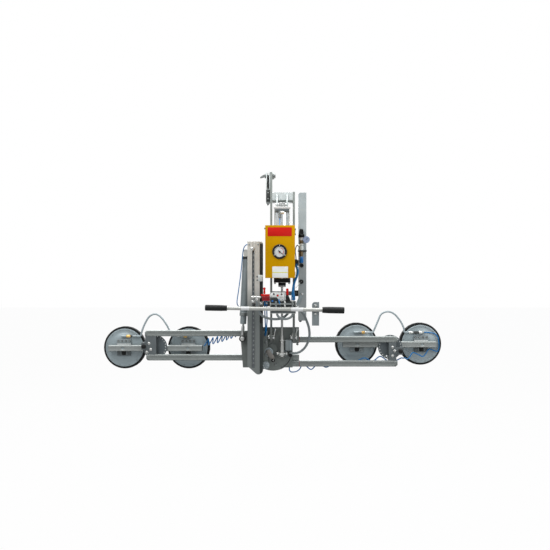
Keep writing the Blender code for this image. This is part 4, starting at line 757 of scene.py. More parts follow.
# Lifting fork and pin
fork = {"middle": -0.0333, "half": 0.0143, "blockTop": -0.098, "blockFoot": -0.182, "front": 0.0262}
addBlock("forkBlock", (fork["middle"] - fork["half"], -fork["front"], fork["blockFoot"]),
    (fork["middle"] + fork["half"], fork["front"], fork["blockTop"]), "dark_steel", "frame", bevel=0.004)
addTurned("forkTip", (fork["middle"], 0, fork["blockFoot"] + 0.001), downward,
    [(0, 0.0135), (0.004, 0.0125), (0.012, 0.006), (0.0205, 0.0012)], "zinc", "frame", sides=24)
addBolts("forkRivets", [(fork["middle"], -fork["front"], -0.12), (fork["middle"], -fork["front"], -0.16)],
    toFront, 0.005, "zinc", "frame", kind="pan")
for side, liner, cheek in (("Left", (-0.0405, -0.038), (-0.0477, -0.0405)),
        ("Right", (-0.0288, -0.0262), (-0.0262, -0.019))):
    addBlock(f"forkLiner{side}", (liner[0], -0.0235, -0.099), (liner[1], 0.0235, 0.015), "dark_steel",
        "frame", bevel=0.0005)
    addBlock(f"forkCheek{side}", (cheek[0], -0.0254, -0.099), (cheek[1], 0.0254, 0.0224), "beamPaint",
        "frame", bevel=0.001)
addBlock("forkWeb", (-0.0384, 0.0195, -0.099), (-0.0284, 0.0235, 0.012), "dark_steel", "frame",
    bevel=0.0005)
addRing("pinClip", (0.0125, 0, 0), toRight, 0.0155, 0.0016, "bright_steel", "frame")
addTurned("pinGroove", (-0.0192, 0, 0), toRight, [(0, 0.0135), (0.004, 0.015), (0.009, 0.015),
    (0.011, 0.0125)], "zinc", "frame", sides=28)

# Cross beam: flange, saddle hooks with their welds, saddle pin
beam = {"front": -0.0302, "low": -0.1838, "lip": -0.169, "left": -0.0038, "right": 0.1348,
    "hooks": (0.028, 0.096)}
addBlock("beamFlange", (beam["left"], beam["front"] - 0.0022, beam["low"]),
    (beam["right"], beam["front"], beam["lip"]), "headGrey", "frame", bevel=0.0008)
for number, middle in enumerate(beam["hooks"]):
    side = "LR"[number]
    lean = 5 if number else -5
    addPlate(f"beamHook{side}", across((middle, -0.188), [(-0.0065, 0.017), (-0.005, -0.014),
        (-0.0085, -0.0215), (-0.006, -0.028), (0.0025, -0.0285), (0.007, -0.02), (0.0055, 0.017)]),
        -0.078, -0.0705, "beamPaint", "frame", bevel=0.0015)
    addBlock(f"beamWeld{side}", (middle - 0.0045, beam["front"] - 0.0018, -0.168),
        (middle - 0.0015, beam["front"], -0.122), "plate_blue_grey", "frame", bevel=0.0007)
addTurned("saddlePin", (0.018, -0.06, -0.203), toRight, [(0, 0.0115), (0.003, 0.013), (0.009, 0.013),
    (0.01, 0.008), (0.078, 0.008), (0.079, 0.013), (0.085, 0.013), (0.088, 0.0115)], "bright_steel",
    "frame", sides=28)

# Tilt cylinder: barrel, caps, tie rods and fittings. It leans about its upper pin.
cylinder = {"top": (0.062, -0.06, -0.203), "lean": 3.35, "barrel": 0.0429, "capHalf": 0.0562,
    "capDeep": 0.0452}
tilted = (cylinder["top"], "X", cylinder["lean"])
topX, topY, topZ = cylinder["top"]
for number in range(5):
    offset = -0.024 + number * 0.012
    addBlock(f"capRib{number}", (topX + offset - 0.0022, topY - 0.034, topZ - 0.0185),
        (topX + offset + 0.0022, topY + 0.034, topZ + 0.001), "bright_steel", "tilt_cylinder",
        bevel=0.001, lean=tilted)
addBlock("cylinderCapPlate", (topX - cylinder["capHalf"], topY - cylinder["capDeep"], topZ - 0.03),
    (topX + cylinder["capHalf"], topY + cylinder["capDeep"], topZ - 0.0175), "bandPale", "tilt_cylinder",
    bevel=0.002, lean=tilted)
addBlock("cylinderCapDark", (topX - 0.047, topY - cylinder["capDeep"] - 0.0006, topZ - 0.056),
    (topX + 0.047, topY + cylinder["capDeep"], topZ - 0.0302), "darkPaint", "tilt_cylinder", bevel=0.003,
    lean=tilted)
addTurned("cylinderBarrel", (topX, topY, topZ - 0.056), downward,
    [(0, 0.0455), (0.008, 0.0455), (0.0085, cylinder["barrel"]), (0.44, cylinder["barrel"]),
    (0.4405, 0.0455), (0.449, 0.0455)], "chrome", "tilt_cylinder", sides=64, lean=tilted)
addBlock("cylinderLowerHead", (topX - cylinder["capHalf"] - 0.0003, topY - cylinder["capDeep"] - 0.0003,
    topZ - 0.5283), (topX + cylinder["capHalf"] + 0.0003, topY + cylinder["capDeep"] + 0.0003,
    topZ - 0.498), "black_plastic", "tilt_cylinder", bevel=0.003, lean=tilted)
addTurned("cylinderGland", (topX, topY, topZ - 0.528), downward, [
    (0, 0.0262), (0.02, 0.0262), (0.024, 0.024), (0.028, 0.024), (0.0318, 0.0205), (0.0318, 0.0095)],
    "black_plastic", "tilt_cylinder", sides=40, lean=tilted)
rodSpots = [(topX + a * 0.048, topY + b * 0.0385) for a in (-1, 1) for b in (-1, 1)]
for number, (x, y) in enumerate(rodSpots):
    addTurned(f"tieRod{number}", (x, y, topZ - 0.029), downward, [(0, 0.0038), (0.478, 0.0038)],
        "bright_steel", "tilt_cylinder", sides=16, lean=tilted)
    addTurned(f"tieNut{number}", (x, y, topZ - 0.5275), downward,
        [(0, 0.0072), (0.0065, 0.0072), (0.007, 0.0042), (0.011, 0.0042)], "bright_steel",
        "tilt_cylinder", sides=6, lean=tilted)
addTurned("capElbow", (0.077, -0.1105, -0.264), toLeft, [(0, 0.003), (0.001, 0.0085), (0.007, 0.0098),
    (0.02, 0.0098), (0.024, 0.011), (0.031, 0.0095), (0.034, 0.005)], "panelPale", "tilt_cylinder",
    sides=28)
addTurned("capBrassDot", (0.071, -0.119, -0.269), toFront, [(0, 0.004), (0.004, 0.004), (0.0048, 0.003)],
    "brass", "tilt_cylinder", sides=20)
addTurned("capFitting", (0.0455, -0.1155, -0.256), downward,
    [(0, 0.0085), (0.016, 0.0085), (0.0165, 0.007), (0.034, 0.007), (0.0345, 0.0082), (0.041, 0.0082),
    (0.043, 0.006)], "grey_paint", "tilt_cylinder", sides=24)
print("top and tilt cylinder dressed")

# Yellow box: cover, bare red plate, white plate with one line, gauge
box = {"left": -0.0495, "right": 0.1436, "low": -0.7026, "high": -0.3612, "front": -0.25, "back": -0.2477}
addPlate("boxLid", roundedRect((box["left"], box["low"]), (box["right"], box["high"]), 0.003, 3),
    box["back"], box["front"], "yellow_paint", "frame", bevel=0.0009, stands=("box_cover",))
redPlate = {"low": (-0.0339, -0.4324), "high": (0.1228, -0.3748), "round": 0.0035, "thick": 0.0012}
addPlate("redPlate", roundedRect(redPlate["low"], redPlate["high"], redPlate["round"]), box["front"],
    box["front"] - redPlate["thick"], "red_plastic", "frame", bevel=0.0004)
whitePlate = {"low": (-0.0035, -0.7012), "high": (0.0982, -0.6287), "thick": 0.001, "lineLow": -0.6696,
    "lineHigh": -0.6652}
addPlate("whitePlate", roundedRect(whitePlate["low"], whitePlate["high"], 0.002), box["front"],
    box["front"] - whitePlate["thick"], "whitePlate", "frame", bevel=0.0003)
addBlock("yellowLine", (-0.0031, box["front"] - 0.0013, whitePlate["lineLow"]),
    (0.0978, box["front"] - 0.0009, whitePlate["lineHigh"]), "lineYellow", "frame", bevel=0.0001)
gauge = {"x": 0.0437, "z": -0.5329, "rim": 0.0476, "face": 0.0356, "front": -0.2605, "dialY": -0.254}
addTurned("gaugeBezel", (gauge["x"], box["front"] + 0.0002, gauge["z"]), toFront,
    [(0, gauge["rim"]), (0.008, gauge["rim"]), (0.0098, 0.0462), (0.0105, 0.044), (0.0105, 0.0378),
    (0.0095, gauge["face"]), (0.004, 0.035), (0.0038, 0.0005)], "black_plastic", "frame", sides=96,
    stands=("gauge_case",))
addTurned("gaugeDial", (gauge["x"], gauge["dialY"] + 0.0004, gauge["z"]), toFront,
    [(0, 0.0347), (0.0007, 0.0347), (0.0008, 0.0005)], "dialFace", "frame", sides=96)
scale = {"first": 225, "step": 9, "marks": 31, "radius": 0.0325, "long": (0.0065, 0.0013),
    "short": (0.0036, 0.0009)}
ticks = []
for number in range(scale["marks"]):
    degrees = scale["first"] - number * scale["step"]
    long, wide = scale["short"] if number % 5 else scale["long"]
    spot = around(gauge["x"], gauge["dialY"] - 0.0006, gauge["z"], scale["radius"] - long / 2, [degrees])[0]
    letGo()
    bpy.ops.mesh.primitive_cube_add(size=1, location=spot, rotation=(0, -radians(degrees), 0))
    tick = bpy.context.object
    tick.scale = (long, 0.0003, wide)
    applyPlace(tick)
    ticks.append(tick)
done(joinAll(ticks), "gaugeTicks", "black_plastic", "frame")
redArc = {"inner": 0.0232, "outer": 0.0262, "angles": [82 - 122 * step / 22 for step in range(23)]}
outer = around(gauge["x"], 0, gauge["z"], redArc["outer"], redArc["angles"])
inner = around(gauge["x"], 0, gauge["z"], redArc["inner"], reversed(redArc["angles"]))
addPlate("gaugeArc", [(x, z) for x, y, z in outer + inner], gauge["dialY"] - 0.0003,
    gauge["dialY"] - 0.0006, "red_plastic", "frame", bevel=0)
addBolts("gaugeScrews", around(gauge["x"], gauge["front"] + 0.0007, gauge["z"], 0.0415, (90, 213, 327)),
    toFront, 0.0032, "bright_steel", "frame", kind="pan")
addPlate("gaugeRedHand", across((gauge["x"], gauge["z"]), [
    (0.0045, 0.003), (0.003, 0.0045), (-0.0052, -0.0085), (0.001, -0.0112)]), -0.2552, -0.2556,
    "red_plastic", "gauge_needle", bevel=0)
handWay, handSide = Vector((0.7986, -0.6018)), Vector((0.6018, 0.7986))
handEnds = [handWay * -0.012 + handSide * 0.0019, handWay * -0.012 - handSide * 0.0019,
    handWay * 0.03 - handSide * 0.0006, handWay * 0.03 + handSide * 0.0006]
addPlate("gaugeBlackHand", across((gauge["x"], gauge["z"]), handEnds), -0.2557, -0.2561, "knobBlack",
    "gauge_needle", bevel=0)
# Where each tab's lower left corner is, seen from the front.
tabs = {"leftTab": (-0.056, -0.384), "rightTabHigh": (0.1436, -0.389), "rightTabLow": (0.1436, -0.422)}
for name, (x, z) in tabs.items():
    addBlock(name, (x, -0.214, z), (x + 0.0065, -0.192, z + 0.01), "dark_steel", "frame")
gland = {"low": (0.1437, -0.203, -0.6075), "high": (0.161, -0.164, -0.58)}
addBlock("boxGland", gland["low"], gland["high"], "black_plastic", "frame", bevel=0.003)
for name, x in (("boxFoldLeft", -0.0335), ("boxFoldRight", 0.124)):
    addBlock(name, (x, box["front"] - 0.0004, box["low"] + 0.004),
        (x + 0.001, box["front"] + 0.0004, -0.436), "yellow_paint", "frame", bevel=0)
print("box dressed")

# Regulator on the side post, from its black knob down to the blue bowl
regulator = {"x": 0.193, "y": -0.0455}
regX, regY = regulator["x"], regulator["y"]
addTurned("regulatorHandle", (regX, regY, -0.4262), skyward,
    [(0, 0.019), (0.003, 0.0215), (0.016, 0.0215), (0.022, 0.0165), (0.026, 0.015), (0.048, 0.0145),
    (0.053, 0.0132), (0.058, 0.009)], "knobBlack", "regulator_knob", sides=18, bevel=0.0006,
    stands=("regulator_knob",))
addTurned("regulatorCollar", (regX, regY, -0.422), downward,
    [(0, 0.012), (0.003, 0.012), (0.0035, 0.016), (0.02, 0.016), (0.021, 0.012), (0.024, 0.01)],
    "bandPale", "frame", sides=8, bevel=0.0008, stands=("regulator",))
addTurned("regulatorBrass", (regX, regY, -0.445), downward,
    [(0, 0.009), (0.001, 0.013), (0.012, 0.013), (0.013, 0.011), (0.025, 0.011)], "oldBrass", "frame",
    sides=6, bevel=0.0006)
addTurned("regulatorTee", (regX, regY, -0.469), downward, [
    (0, 0.0135), (0.001, 0.015), (0.01, 0.015), (0.011, 0.0115), (0.014, 0.0115), (0.015, 0.0165),
    (0.036, 0.0165), (0.037, 0.0175), (0.043, 0.0175), (0.044, 0.01)], "beamPaint", "frame", sides=28)
addTurned("regulatorTeeArm", (regX, regY, -0.48), toLeft, [
    (0, 0.008), (0.017, 0.008), (0.0175, 0.0095), (0.022, 0.0095)], "bright_steel", "frame", sides=6)
addBlock("regulatorClamp", (0.169, -0.056, -0.522), (0.229, -0.0252, -0.512), "dark_steel", "frame",
    bevel=0.002)
addTurned("regulatorLower", (regX, regY, -0.522), downward,
    [(0, 0.012), (0.022, 0.012), (0.023, 0.0105), (0.036, 0.0105)], "oldBrass", "frame")
addTurned("regulatorBowl", (regX, regY, -0.556), downward,
    [(0, 0.0125), (0.002, 0.0142), (0.034, 0.0142), (0.04, 0.0125), (0.0433, 0.008)], "bowlBlue",
    "frame", sides=36)
addTurned("smallGaugeStem", (0.202, -0.052, -0.442), toRight, [(0, 0.004), (0.018, 0.004)], "brass",
    "frame", sides=16)
addTurned("smallGauge", (0.2265, -0.05, -0.4411), toFront,
    [(0, 0.02), (0.001, 0.0232), (0.011, 0.0232), (0.012, 0.0222), (0.012, 0.0203), (0.0105, 0.0198),
    (0.0105, 0.0005)], "bowlPale", "frame", sides=48)
addPlate("smallGaugeHand", across((0.2265, -0.4411), [(-0.0016, -0.0008), (0.0118, 0.0104),
    (0.0104, 0.012), (-0.0024, 0.0014)]), -0.0606, -0.061, "black_plastic", "frame", bevel=0)

# Side post: lifting ring, grommet, chain, diagonal strut, foot nub and the dark bridges
post = {"front": -0.0252, "middle": 0.1935}
addRing("postRing", (post["middle"] + 0.002, post["front"] - 0.0015, -0.615), toBack, 0.0115, 0.0032,
    "dark_steel", "frame")
addTurned("postRingHole", (post["middle"] + 0.002, post["front"], -0.615), toFront,
    [(0, 0.01), (0.0004, 0.0098)], "rubber", "frame")
addTurned("postGrommet", (post["middle"], post["front"] + 0.0002, -0.726), toFront, [
    (0, 0.015), (0.005, 0.015), (0.0075, 0.0125), (0.008, 0.007), (0.005, 0.0055)], "rubber", "frame")
addWire("postChain", [(0.193, -0.033, -0.722), (0.184, -0.048, -0.732), (0.172, -0.07, -0.747),
    (0.161, -0.095, -0.76), (0.152, -0.12, -0.768)], 0.0012, "bright_steel", "frame")
addPlate("postStrut", [(0.1975, -0.799), (0.208, -0.807), (0.206, -0.819), (0.166, -0.901),
    (0.148, -0.894), (0.187, -0.806)], post["front"] - 0.0065, post["front"] - 0.0003, "cupPaint",
    "frame", bevel=0.0015)
addBolts("strutBolts", [(0.1985, post["front"] - 0.0065, -0.812), (0.158, post["front"] - 0.0065, -0.892)],
    toFront, 0.006, "bright_steel", "frame")
addTurned("postNub", (0.188, 0, -0.9915), downward, [(0, 0.01), (0.007, 0.009), (0.011, 0.005),
    (0.0112, 0.001)], "dark_steel", "frame", sides=20)
for number, height in enumerate((-0.596, -0.806)):
    addBlock(f"postBridge{number}", (0.1503, 0.0296, height - 0.02), (0.227, 0.0302, height + 0.02),
        "dark_steel", "frame", bevel=0)
    addBolts(f"bridgeBolts{number}", [(0.162, 0.0296, height)], toFront, 0.006, "zinc", "frame")
print("post and regulator dressed")

# Vacuum valve: red body, lever, and a row of silver fittings to its left
valveY = -0.2082
addBlock("valveBody", (-0.07, -0.2262, -0.8526), (-0.0192, -0.1902, -0.82), "darkRed", "frame",
    bevel=0.0025, stands=("vacuum_valve",))
addBlock("valveBar", (-0.0778, -0.225, -0.8205), (-0.0196, -0.1915, -0.8082), "red_plastic", "frame",
    bevel=0.0022)
addTurned("valveBarrel", (-0.066, -0.217, -0.83), toRight,
    [(0, 0.01), (0.002, 0.0118), (0.014, 0.0118), (0.015, 0.0108), (0.028, 0.0108), (0.029, 0.0118),
    (0.042, 0.0118), (0.044, 0.01)], "darkRed", "frame", sides=36)
addTurned("valveLever", (-0.0555, valveY, -0.8072), skyward,
    [(0, 0.0032), (0.0015, 0.0052), (0.004, 0.007), (0.0075, 0.0074), (0.024, 0.0058), (0.028, 0.0064),
    (0.032, 0.008), (0.0365, 0.0087), (0.04, 0.0078), (0.0425, 0.005), (0.043, 0.001)], "red_plastic",
    "vacuum_lever", stands=("vacuum_lever",))
fittings = [(-0.078, 0.011, 0.0085, 6), (-0.089, 0.012, 0.0065, 24), (-0.101, 0.015, 0.0098, 6),
    (-0.116, 0.007, 0.007, 24), (-0.123, 0.013, 0.0102, 6), (-0.136, 0.0054, 0.0075, 24)]
for number, (x, long, radius, sides) in enumerate(fittings):
    addTurned(f"valveFitting{number}", (x + 0.0004, valveY, -0.828), toLeft,
        [(0, radius * 0.9), (long * 0.12, radius), (long * 0.88, radius), (long, radius * 0.9)],
        "bright_steel", "frame", sides=sides)
addTurned("valveElbow", (-0.1046, valveY, -0.825), downward,
    [(0, 0.006), (0.002, 0.0092), (0.012, 0.0092), (0.013, 0.0108), (0.022, 0.0108), (0.023, 0.0088),
    (0.03, 0.0088)], "bright_steel", "frame", sides=24)
manifold = [((-0.14, -0.205, -0.866), (-0.12, -0.187, -0.848), "bright_steel"),
    ((-0.133, -0.201, -0.89), (-0.114, -0.185, -0.869), "dark_steel"),
    ((-0.09, -0.204, -0.883), (-0.065, -0.186, -0.858), "zinc"),
    ((-0.064, -0.204, -0.888), (-0.018, -0.186, -0.854), "dark_steel"),
    ((-0.015, -0.206, -0.883), (0.005, -0.187, -0.857), "zinc"),
    ((0.006, -0.205, -0.889), (0.03, -0.187, -0.86), "dark_steel")]
for number, (low, high, look) in enumerate(manifold):
    addBlock(f"manifold{number}", low, high, look, "frame", bevel=0.003)
for number, (x, z, radius) in enumerate(((-0.13, -0.857, 0.006), (-0.077, -0.87, 0.0072),
        (-0.04, -0.868, 0.006), (-0.005, -0.87, 0.006))):
    addTurned(f"manifoldNut{number}", (x, -0.2035, z), toFront,
        [(0, radius), (0.006, radius), (0.0068, radius * 0.6), (0.01, radius * 0.6)], "bright_steel",
        "frame", sides=6)
addTurned("bluePlug", (-0.003, -0.225, -0.853), toFront, [(0, 0.006), (0.005, 0.006), (0.0062, 0.004)],
    "bowlBlue", "frame", sides=24)

# Panel: pale plate with the red button, two dark sockets and a slot
panelFront = -0.2266
addPlate("panelPlate", [(-0.018, -0.8105), (-0.003, -0.7968), (0.0336, -0.7968), (0.0735, -0.8),
    (0.0742, -0.84), (0.06, -0.8529), (0.036, -0.845), (0.027, -0.829), (-0.018, -0.829)], -0.2252,
    -0.2268, "panelPale", "frame", bevel=0.0008)
addBolts("panelSockets", [(0.0062, panelFront, -0.8075), (0.057, panelFront, -0.8085)], toFront, 0.0062,
    "dark_steel", "frame", kind="pan")
addBolts("panelDots", [(0.0062, -0.228, -0.8085), (0.057, -0.228, -0.8095)], toFront, 0.0026, "darkRed",
    "frame", kind="pan")
addBlock("panelSlot", (0.044, -0.2272, -0.8285), (0.07, panelFront, -0.8265), "dark_steel", "frame",
    bevel=0.0002)
addBlock("panelSlotLow", (0.042, -0.2272, -0.8345), (0.06, panelFront, -0.8333), "zinc", "frame",
    bevel=0.0002)
# A dark sheet of painted shade over the panel's lower left.
addBlock("panelShade", (-0.018, -0.2262, -0.856), (0.035, -0.225, -0.8288), "sideDark", "frame",
    bevel=0.0004)
addBolts("panelScrews", [(-0.011, panelFront, -0.8235), (0.069, panelFront, -0.806),
    (0.062, panelFront, -0.843)], toFront, 0.0028, "zinc", "frame", kind="pan")
addTurned("redButton", (0.0312, -0.22, -0.817), toFront, [(0, 0.0056), (0.01, 0.0056), (0.0108, 0.0048),
    (0.0111, 0.001)], "red_plastic", "push_button", stands=("push_button",))
addRing("buttonRing", (0.0312, -0.227, -0.817), toBack, 0.0072, 0.0008, "zinc", "frame")

# Yoke: a dark sheet of painted shade, lower strip and the pipework in front
yoke = {"front": -0.2224, "pipes": ((0.02, 0.007, "zinc"), (0.052, 0.0062, "dark_steel"),
    (0.078, 0.0066, "bright_steel"), (0.128, 0.006, "zinc"))}
addBlock("yokeShade", (-0.015, yoke["front"] - 0.003, -0.892), (0.148, yoke["front"], -0.854),
    "sideDark", "frame", bevel=0.001)
addBlock("yokeStrip", (-0.015, yoke["front"] - 0.0016, -0.932), (0.148, yoke["front"], -0.918),
    "darkPaint", "frame", bevel=0.0008)
for number, (x, radius, look) in enumerate(yoke["pipes"]):
    addTurned(f"yokePipe{number}", (x, yoke["front"] - 0.008, -0.855), downward,
        [(0, radius * 0.8), (0.003, radius), (0.01, radius), (0.011, radius * 0.7),
        (0.026, radius * 0.7), (0.027, radius), (0.036, radius)], look, "frame", sides=20)
addTurned("yokeCrossPipe", (-0.012, yoke["front"] - 0.0075, -0.873), toRight,
    [(0, 0.005), (0.05, 0.005), (0.051, 0.0072), (0.066, 0.0072), (0.067, 0.005), (0.15, 0.005)], "zinc",
    "frame", sides=20)

# Tilt valve: black bellows boot and red lever
boot = {"x": 0.0945, "y": -0.2082, "low": -0.856, "folds": 5, "foldStep": 0.0068, "taper": 0.003}
ribs = [(0, 0.0235), (0.002, 0.0245)]
for number in range(boot["folds"]):
    wide = 0.024 - number * boot["taper"]
    rise = number * boot["foldStep"]
    ribs += [(0.0055 + rise, wide), (0.0075 + rise, wide - 0.0042), (0.0102 + rise, wide - 0.002)]
ribs += [(0.0405, 0.008), (0.042, 0.0075), (0.0425, 0.005)]
addTurned("tiltBoot", (boot["x"], boot["y"], boot["low"]), skyward, ribs, "rubber", "frame", sides=48,
    stands=("tilt_valve",))
addTurned("tiltHandle", (boot["x"], boot["y"], -0.8267), skyward,
    [(0, 0.0045), (0.008, 0.0048), (0.01, 0.0076), (0.034, 0.0078), (0.045, 0.0089), (0.052, 0.0084),
    (0.0552, 0.0056), (0.056, 0.001)], "red_plastic", "tilt_lever", sides=36, stands=("tilt_lever",))
addTurned("bootFlange", (boot["x"], boot["y"], -0.864), skyward, [(0, 0.02), (0.008, 0.02)],
    "dark_steel", "frame", sides=40)

# Silver manifold under the blue bundle
addBlock("bundleBlock", (0.113, -0.208, -0.884), (0.15, -0.185, -0.863), "zinc", "frame", bevel=0.002)
for number, (x, y) in enumerate(((0.125, -0.194), (0.134, -0.202), (0.143, -0.194))):
    addTurned(f"bundleNut{number}", (x, y, -0.8632), skyward,
        [(0, 0.0068), (0.009, 0.0068), (0.0094, 0.0055), (0.013, 0.0052)], "bright_steel", "frame",
        sides=6)

# Handlebar: pale bands, grip collars and grip ribs. It falls a little to the right.
bar = {"y": -0.235, "z": -0.9045, "fall": -0.01902}
barWay = Vector((1, 0, bar["fall"])).normalized()


def onBar(x):
    return (x, bar["y"], bar["z"] + bar["fall"] * x)


for name, start, long in (("bandLeft", -0.206, 0.052), ("bandRight", 0.118, 0.078)):
    addTurned(name, onBar(start), barWay, [(0, 0.0124), (0.0004, 0.0129), (long - 0.0004, 0.0129),
        (long, 0.0124)], "bandPale", "frame", sides=40)
for name, start, way in (("gripCollarLeft", -0.2972, -1), ("gripCollarRight", 0.3212, 1)):
    addTurned(name, onBar(start), barWay * way, [(0, 0.0128), (0.001, 0.0178), (0.006, 0.0182),
        (0.008, 0.017)], "black_plastic", "frame", sides=40)
grooves = []
for side, first in ((-1, -0.31), (1, 0.334)):
    for number in range(11):
        grooves.append(onBar(first + side * number * 0.0115))
for number, place in enumerate(grooves):
    addRing(f"gripRib{number}", place, barWay, 0.0186, 0.0009, "gripFoam", "frame")

# Side bracket, and the yoke's bolts
bracket = {"front": yoke["front"], "x": 0.2786}
addBolts("bracketScrews", [(bracket["x"], bracket["front"], -0.883),
    (bracket["x"], bracket["front"], -0.938)], toFront, 0.0062, "bright_steel", "frame")
addBlock("bracketRib", (0.27, bracket["front"] - 0.0018, -1.012),
    (0.289, bracket["front"] + 0.001, -0.95), "grey_paint", "frame", bevel=0.0012)
addBolts("yokeBolts", [(-0.012, yoke["front"], -0.915), (0.143, yoke["front"], -0.915),
    (-0.012, yoke["front"], -0.875), (0.143, yoke["front"], -0.898)], toFront, 0.0052,
    "bright_steel", "frame")
print("controls dressed")

# Mast: ladder slot, lips, rail, plate and screws
mast = {"front": -0.0802, "slotLeft": -0.1412, "slotRight": -0.1238, "top": -0.528, "foot": -1.306,
    "footFront": -0.0104, "rungs": 25, "firstRung": 0.022, "rungStep": 0.0302}
addBlock("mastSlot", (mast["slotLeft"], mast["front"] - 0.0004, mast["foot"]),
    (mast["slotRight"], mast["front"], mast["top"]), "slotStrip", "head", bevel=0)
for name, x in (("mastLipLeft", -0.1452), ("mastLipRight", -0.124)):
    addBlock(name, (x, mast["front"] - 0.0024, mast["foot"]), (x + 0.004, mast["front"], -0.456),
        "mastZinc", "head", bevel=0.0009)
letGo()
bpy.ops.mesh.primitive_cube_add(size=1)
rung = bpy.context.object
rung.scale = (0.0085, 0.0016, 0.011)
applyPlace(rung)
roundEdges(rung, 0.0006, segments=1)
middle = (mast["slotLeft"] + mast["slotRight"]) / 2
rungTop = mast["top"] - mast["firstRung"]
spots = [(middle + 0.0015, mast["front"] - 0.0006, rungTop - number * mast["rungStep"])
    for number in range(mast["rungs"])]
done(copiesOf(rung, spots), "mastRungs", "zinc", "head")
addBolts("mastScrews", [(-0.16, mast["front"], -0.4763), (-0.1, mast["front"], -0.4763)], toFront,
    0.0052, "zinc", "head", kind="pan")
addBolts("mastNut", [(-0.1376, mast["front"] - 0.0012, -0.506)], toFront, 0.0105, "bright_steel", "head")
addBlock("mastRail", (-0.0892, -0.0806, -1.005), (-0.0675, -0.02, -0.468), "black_plastic", "head")
addBlock("mastRailLip", (-0.076, -0.0818, -1.003), (-0.073, -0.0806, -0.47), "dark_steel", "head",
    bevel=0.0005)
addPlate("mastSideLow", [(-0.0892, -1.005), (-0.0675, -1.005), (-0.0675, -1.33), (-0.076, -1.344),
    (-0.0892, -1.35)], -0.012, -0.0806, "sideDark", "head", bevel=0.0015)
addBlock("railPlate", (-0.099, mast["front"] - 0.0038, -0.7243),
    (-0.0684, mast["front"] - 0.0002, -0.681), "beamPaint", "head", bevel=0.0012)
addBolts("railPlateScrews", [(-0.106, mast["front"], -0.692), (-0.106, mast["front"], -0.716)], toFront,
    0.0058, "zinc", "head", kind="pan")
addBolts("mastFootBolts", [(-0.154, mast["footFront"], -1.1), (-0.154, mast["footFront"], -1.27),
    (-0.048, mast["footFront"], -1.14), (-0.048, mast["footFront"], -1.22)], toFront, 0.0075,
    "zinc", "head")

# Rotation cylinder: caps, gland, bands, port and the rod's eye; its lug is on the mast
rotation = {"top": Vector((-0.18, 0.019, -0.53)), "foot": Vector((-0.2105, 0.019, -1.1173))}
rotWay = (rotation["foot"] - rotation["top"]).normalized()
for name, along, radius, long, look in (("rotationCap", 0.022, 0.028, 0.02, "dark_steel"),
        ("rotationHead", 0.408, 0.0282, 0.024, "zinc"),
        ("rotationGland", 0.432, 0.0216, 0.052, "grey_paint"),
        ("rotationBandHigh", 0.13, 0.0269, 0.004, "zinc"),
        ("rotationBandLow", 0.32, 0.0269, 0.004, "zinc")):
    addTurned(name, rotation["top"] + rotWay * along, rotWay,
        [(0, radius - 0.002), (0.002, radius), (long - 0.002, radius), (long, radius - 0.002)], look,
        "rotation_cylinder", sides=44)
addBlock("rotationLug", (-0.2006, -0.0112, -0.5546), (-0.1719, 0.0072, -0.5054), "sideDark", "head",
    bevel=0.002)
addTurned("rotationPort", (-0.172, -0.01, -0.556), toFront,
    [(0, 0.0085), (0.01, 0.0085), (0.011, 0.0065), (0.018, 0.0065)], "dark_steel", "rotation_cylinder",
    sides=6)
addTurned("rotationEye", (-0.2105, 0.044, -1.1173), toFront,
    [(0, 0.018), (0.001, 0.0228), (0.04, 0.0228), (0.042, 0.021), (0.042, 0.0165), (0.04, 0.0155),
    (0.04, 0.001)], "dark_steel", "rotation_rod", sides=44)
addTurned("rotationEyeCentre", (-0.2105, 0.0045, -1.1173), toFront,
    [(0, 0.0145), (0.004, 0.0145), (0.0052, 0.012), (0.0054, 0.001)], "bright_steel", "rotation_rod",
    sides=40)
print("mast and rotation cylinder dressed")

# Head: hinge bolts and lugs, lock, round knob with its handle, drilled disc
head = {"face": 0.0397, "hinge": -0.0186, "boltZ": -1.11}
addBolts("hingeBolts", [(x, head["hinge"], head["boltZ"]) for x in (-0.0268, 0.0032, 0.1278, 0.158)],
    toFront, 0.0057, "bandPale", "head")
for name, x, lean in (("lugLeft", 0.007, 12), ("lugRight", 0.131, 14), ("lugRightOuter", 0.1545, 12)):
    addBlock(name, (x - 0.0035, -0.019, -1.102), (x + 0.0035, 0.01, -1.048), "bright_steel", "head",
        bevel=0.002, lean=((x, 0, -1.1), "Y", lean))
addBlock("lockBlock", (0.085, -0.008, -1.198), (0.134, head["face"], -1.126), "grey_paint", "head",
    bevel=0.003)
addBlock("lockBlockRib", (0.116, -0.0105, -1.196), (0.123, -0.008, -1.128), "cupPaint", "head")
addBlock("lockFoot", (0.076, 0.01, -1.245), (0.1, head["face"], -1.198), "darkPaint", "head", bevel=0.002)
addTurned("lockKnob", (0.121, head["face"], -1.2325), toFront,
    [(0, 0.01), (0.008, 0.01), (0.01, 0.0128), (0.024, 0.0128), (0.027, 0.0105), (0.0275, 0.006),
    (0.0262, 0.005)], "black_plastic", "head")
addTurned("roundKnob", (-0.03, head["face"], -1.2085), toFront,
    [(0, 0.026), (0.03, 0.026), (0.031, 0.031), (0.046, 0.0316), (0.05, 0.029), (0.05, 0.0225),
    (0.048, 0.0215), (0.048, 0.001)], "plate_blue_grey", "head", sides=64)
addPlate("knobHandle", [(-0.05, -1.199), (-0.024, -1.188), (-0.012, -1.208), (0.012, -1.242),
    (0.008, -1.259), (-0.004, -1.262), (-0.03, -1.24), (-0.048, -1.22)], -0.008, -0.016, "handleBrown",
    "head", bevel=0.003)
addTurned("handleKnob", (0.001, 0.008, -1.2646), toFront, [
    (0, 0.005), (0.01, 0.006), (0.012, 0.0115), (0.022, 0.013), (0.028, 0.011), (0.0285, 0.005),
    (0.0275, 0.004)], "black_plastic", "head")
addTurned("handleKnobDot", (0.001, -0.02, -1.2646), toFront, [(0, 0.004), (0.0015, 0.0036)],
    "bright_steel", "head", sides=20)
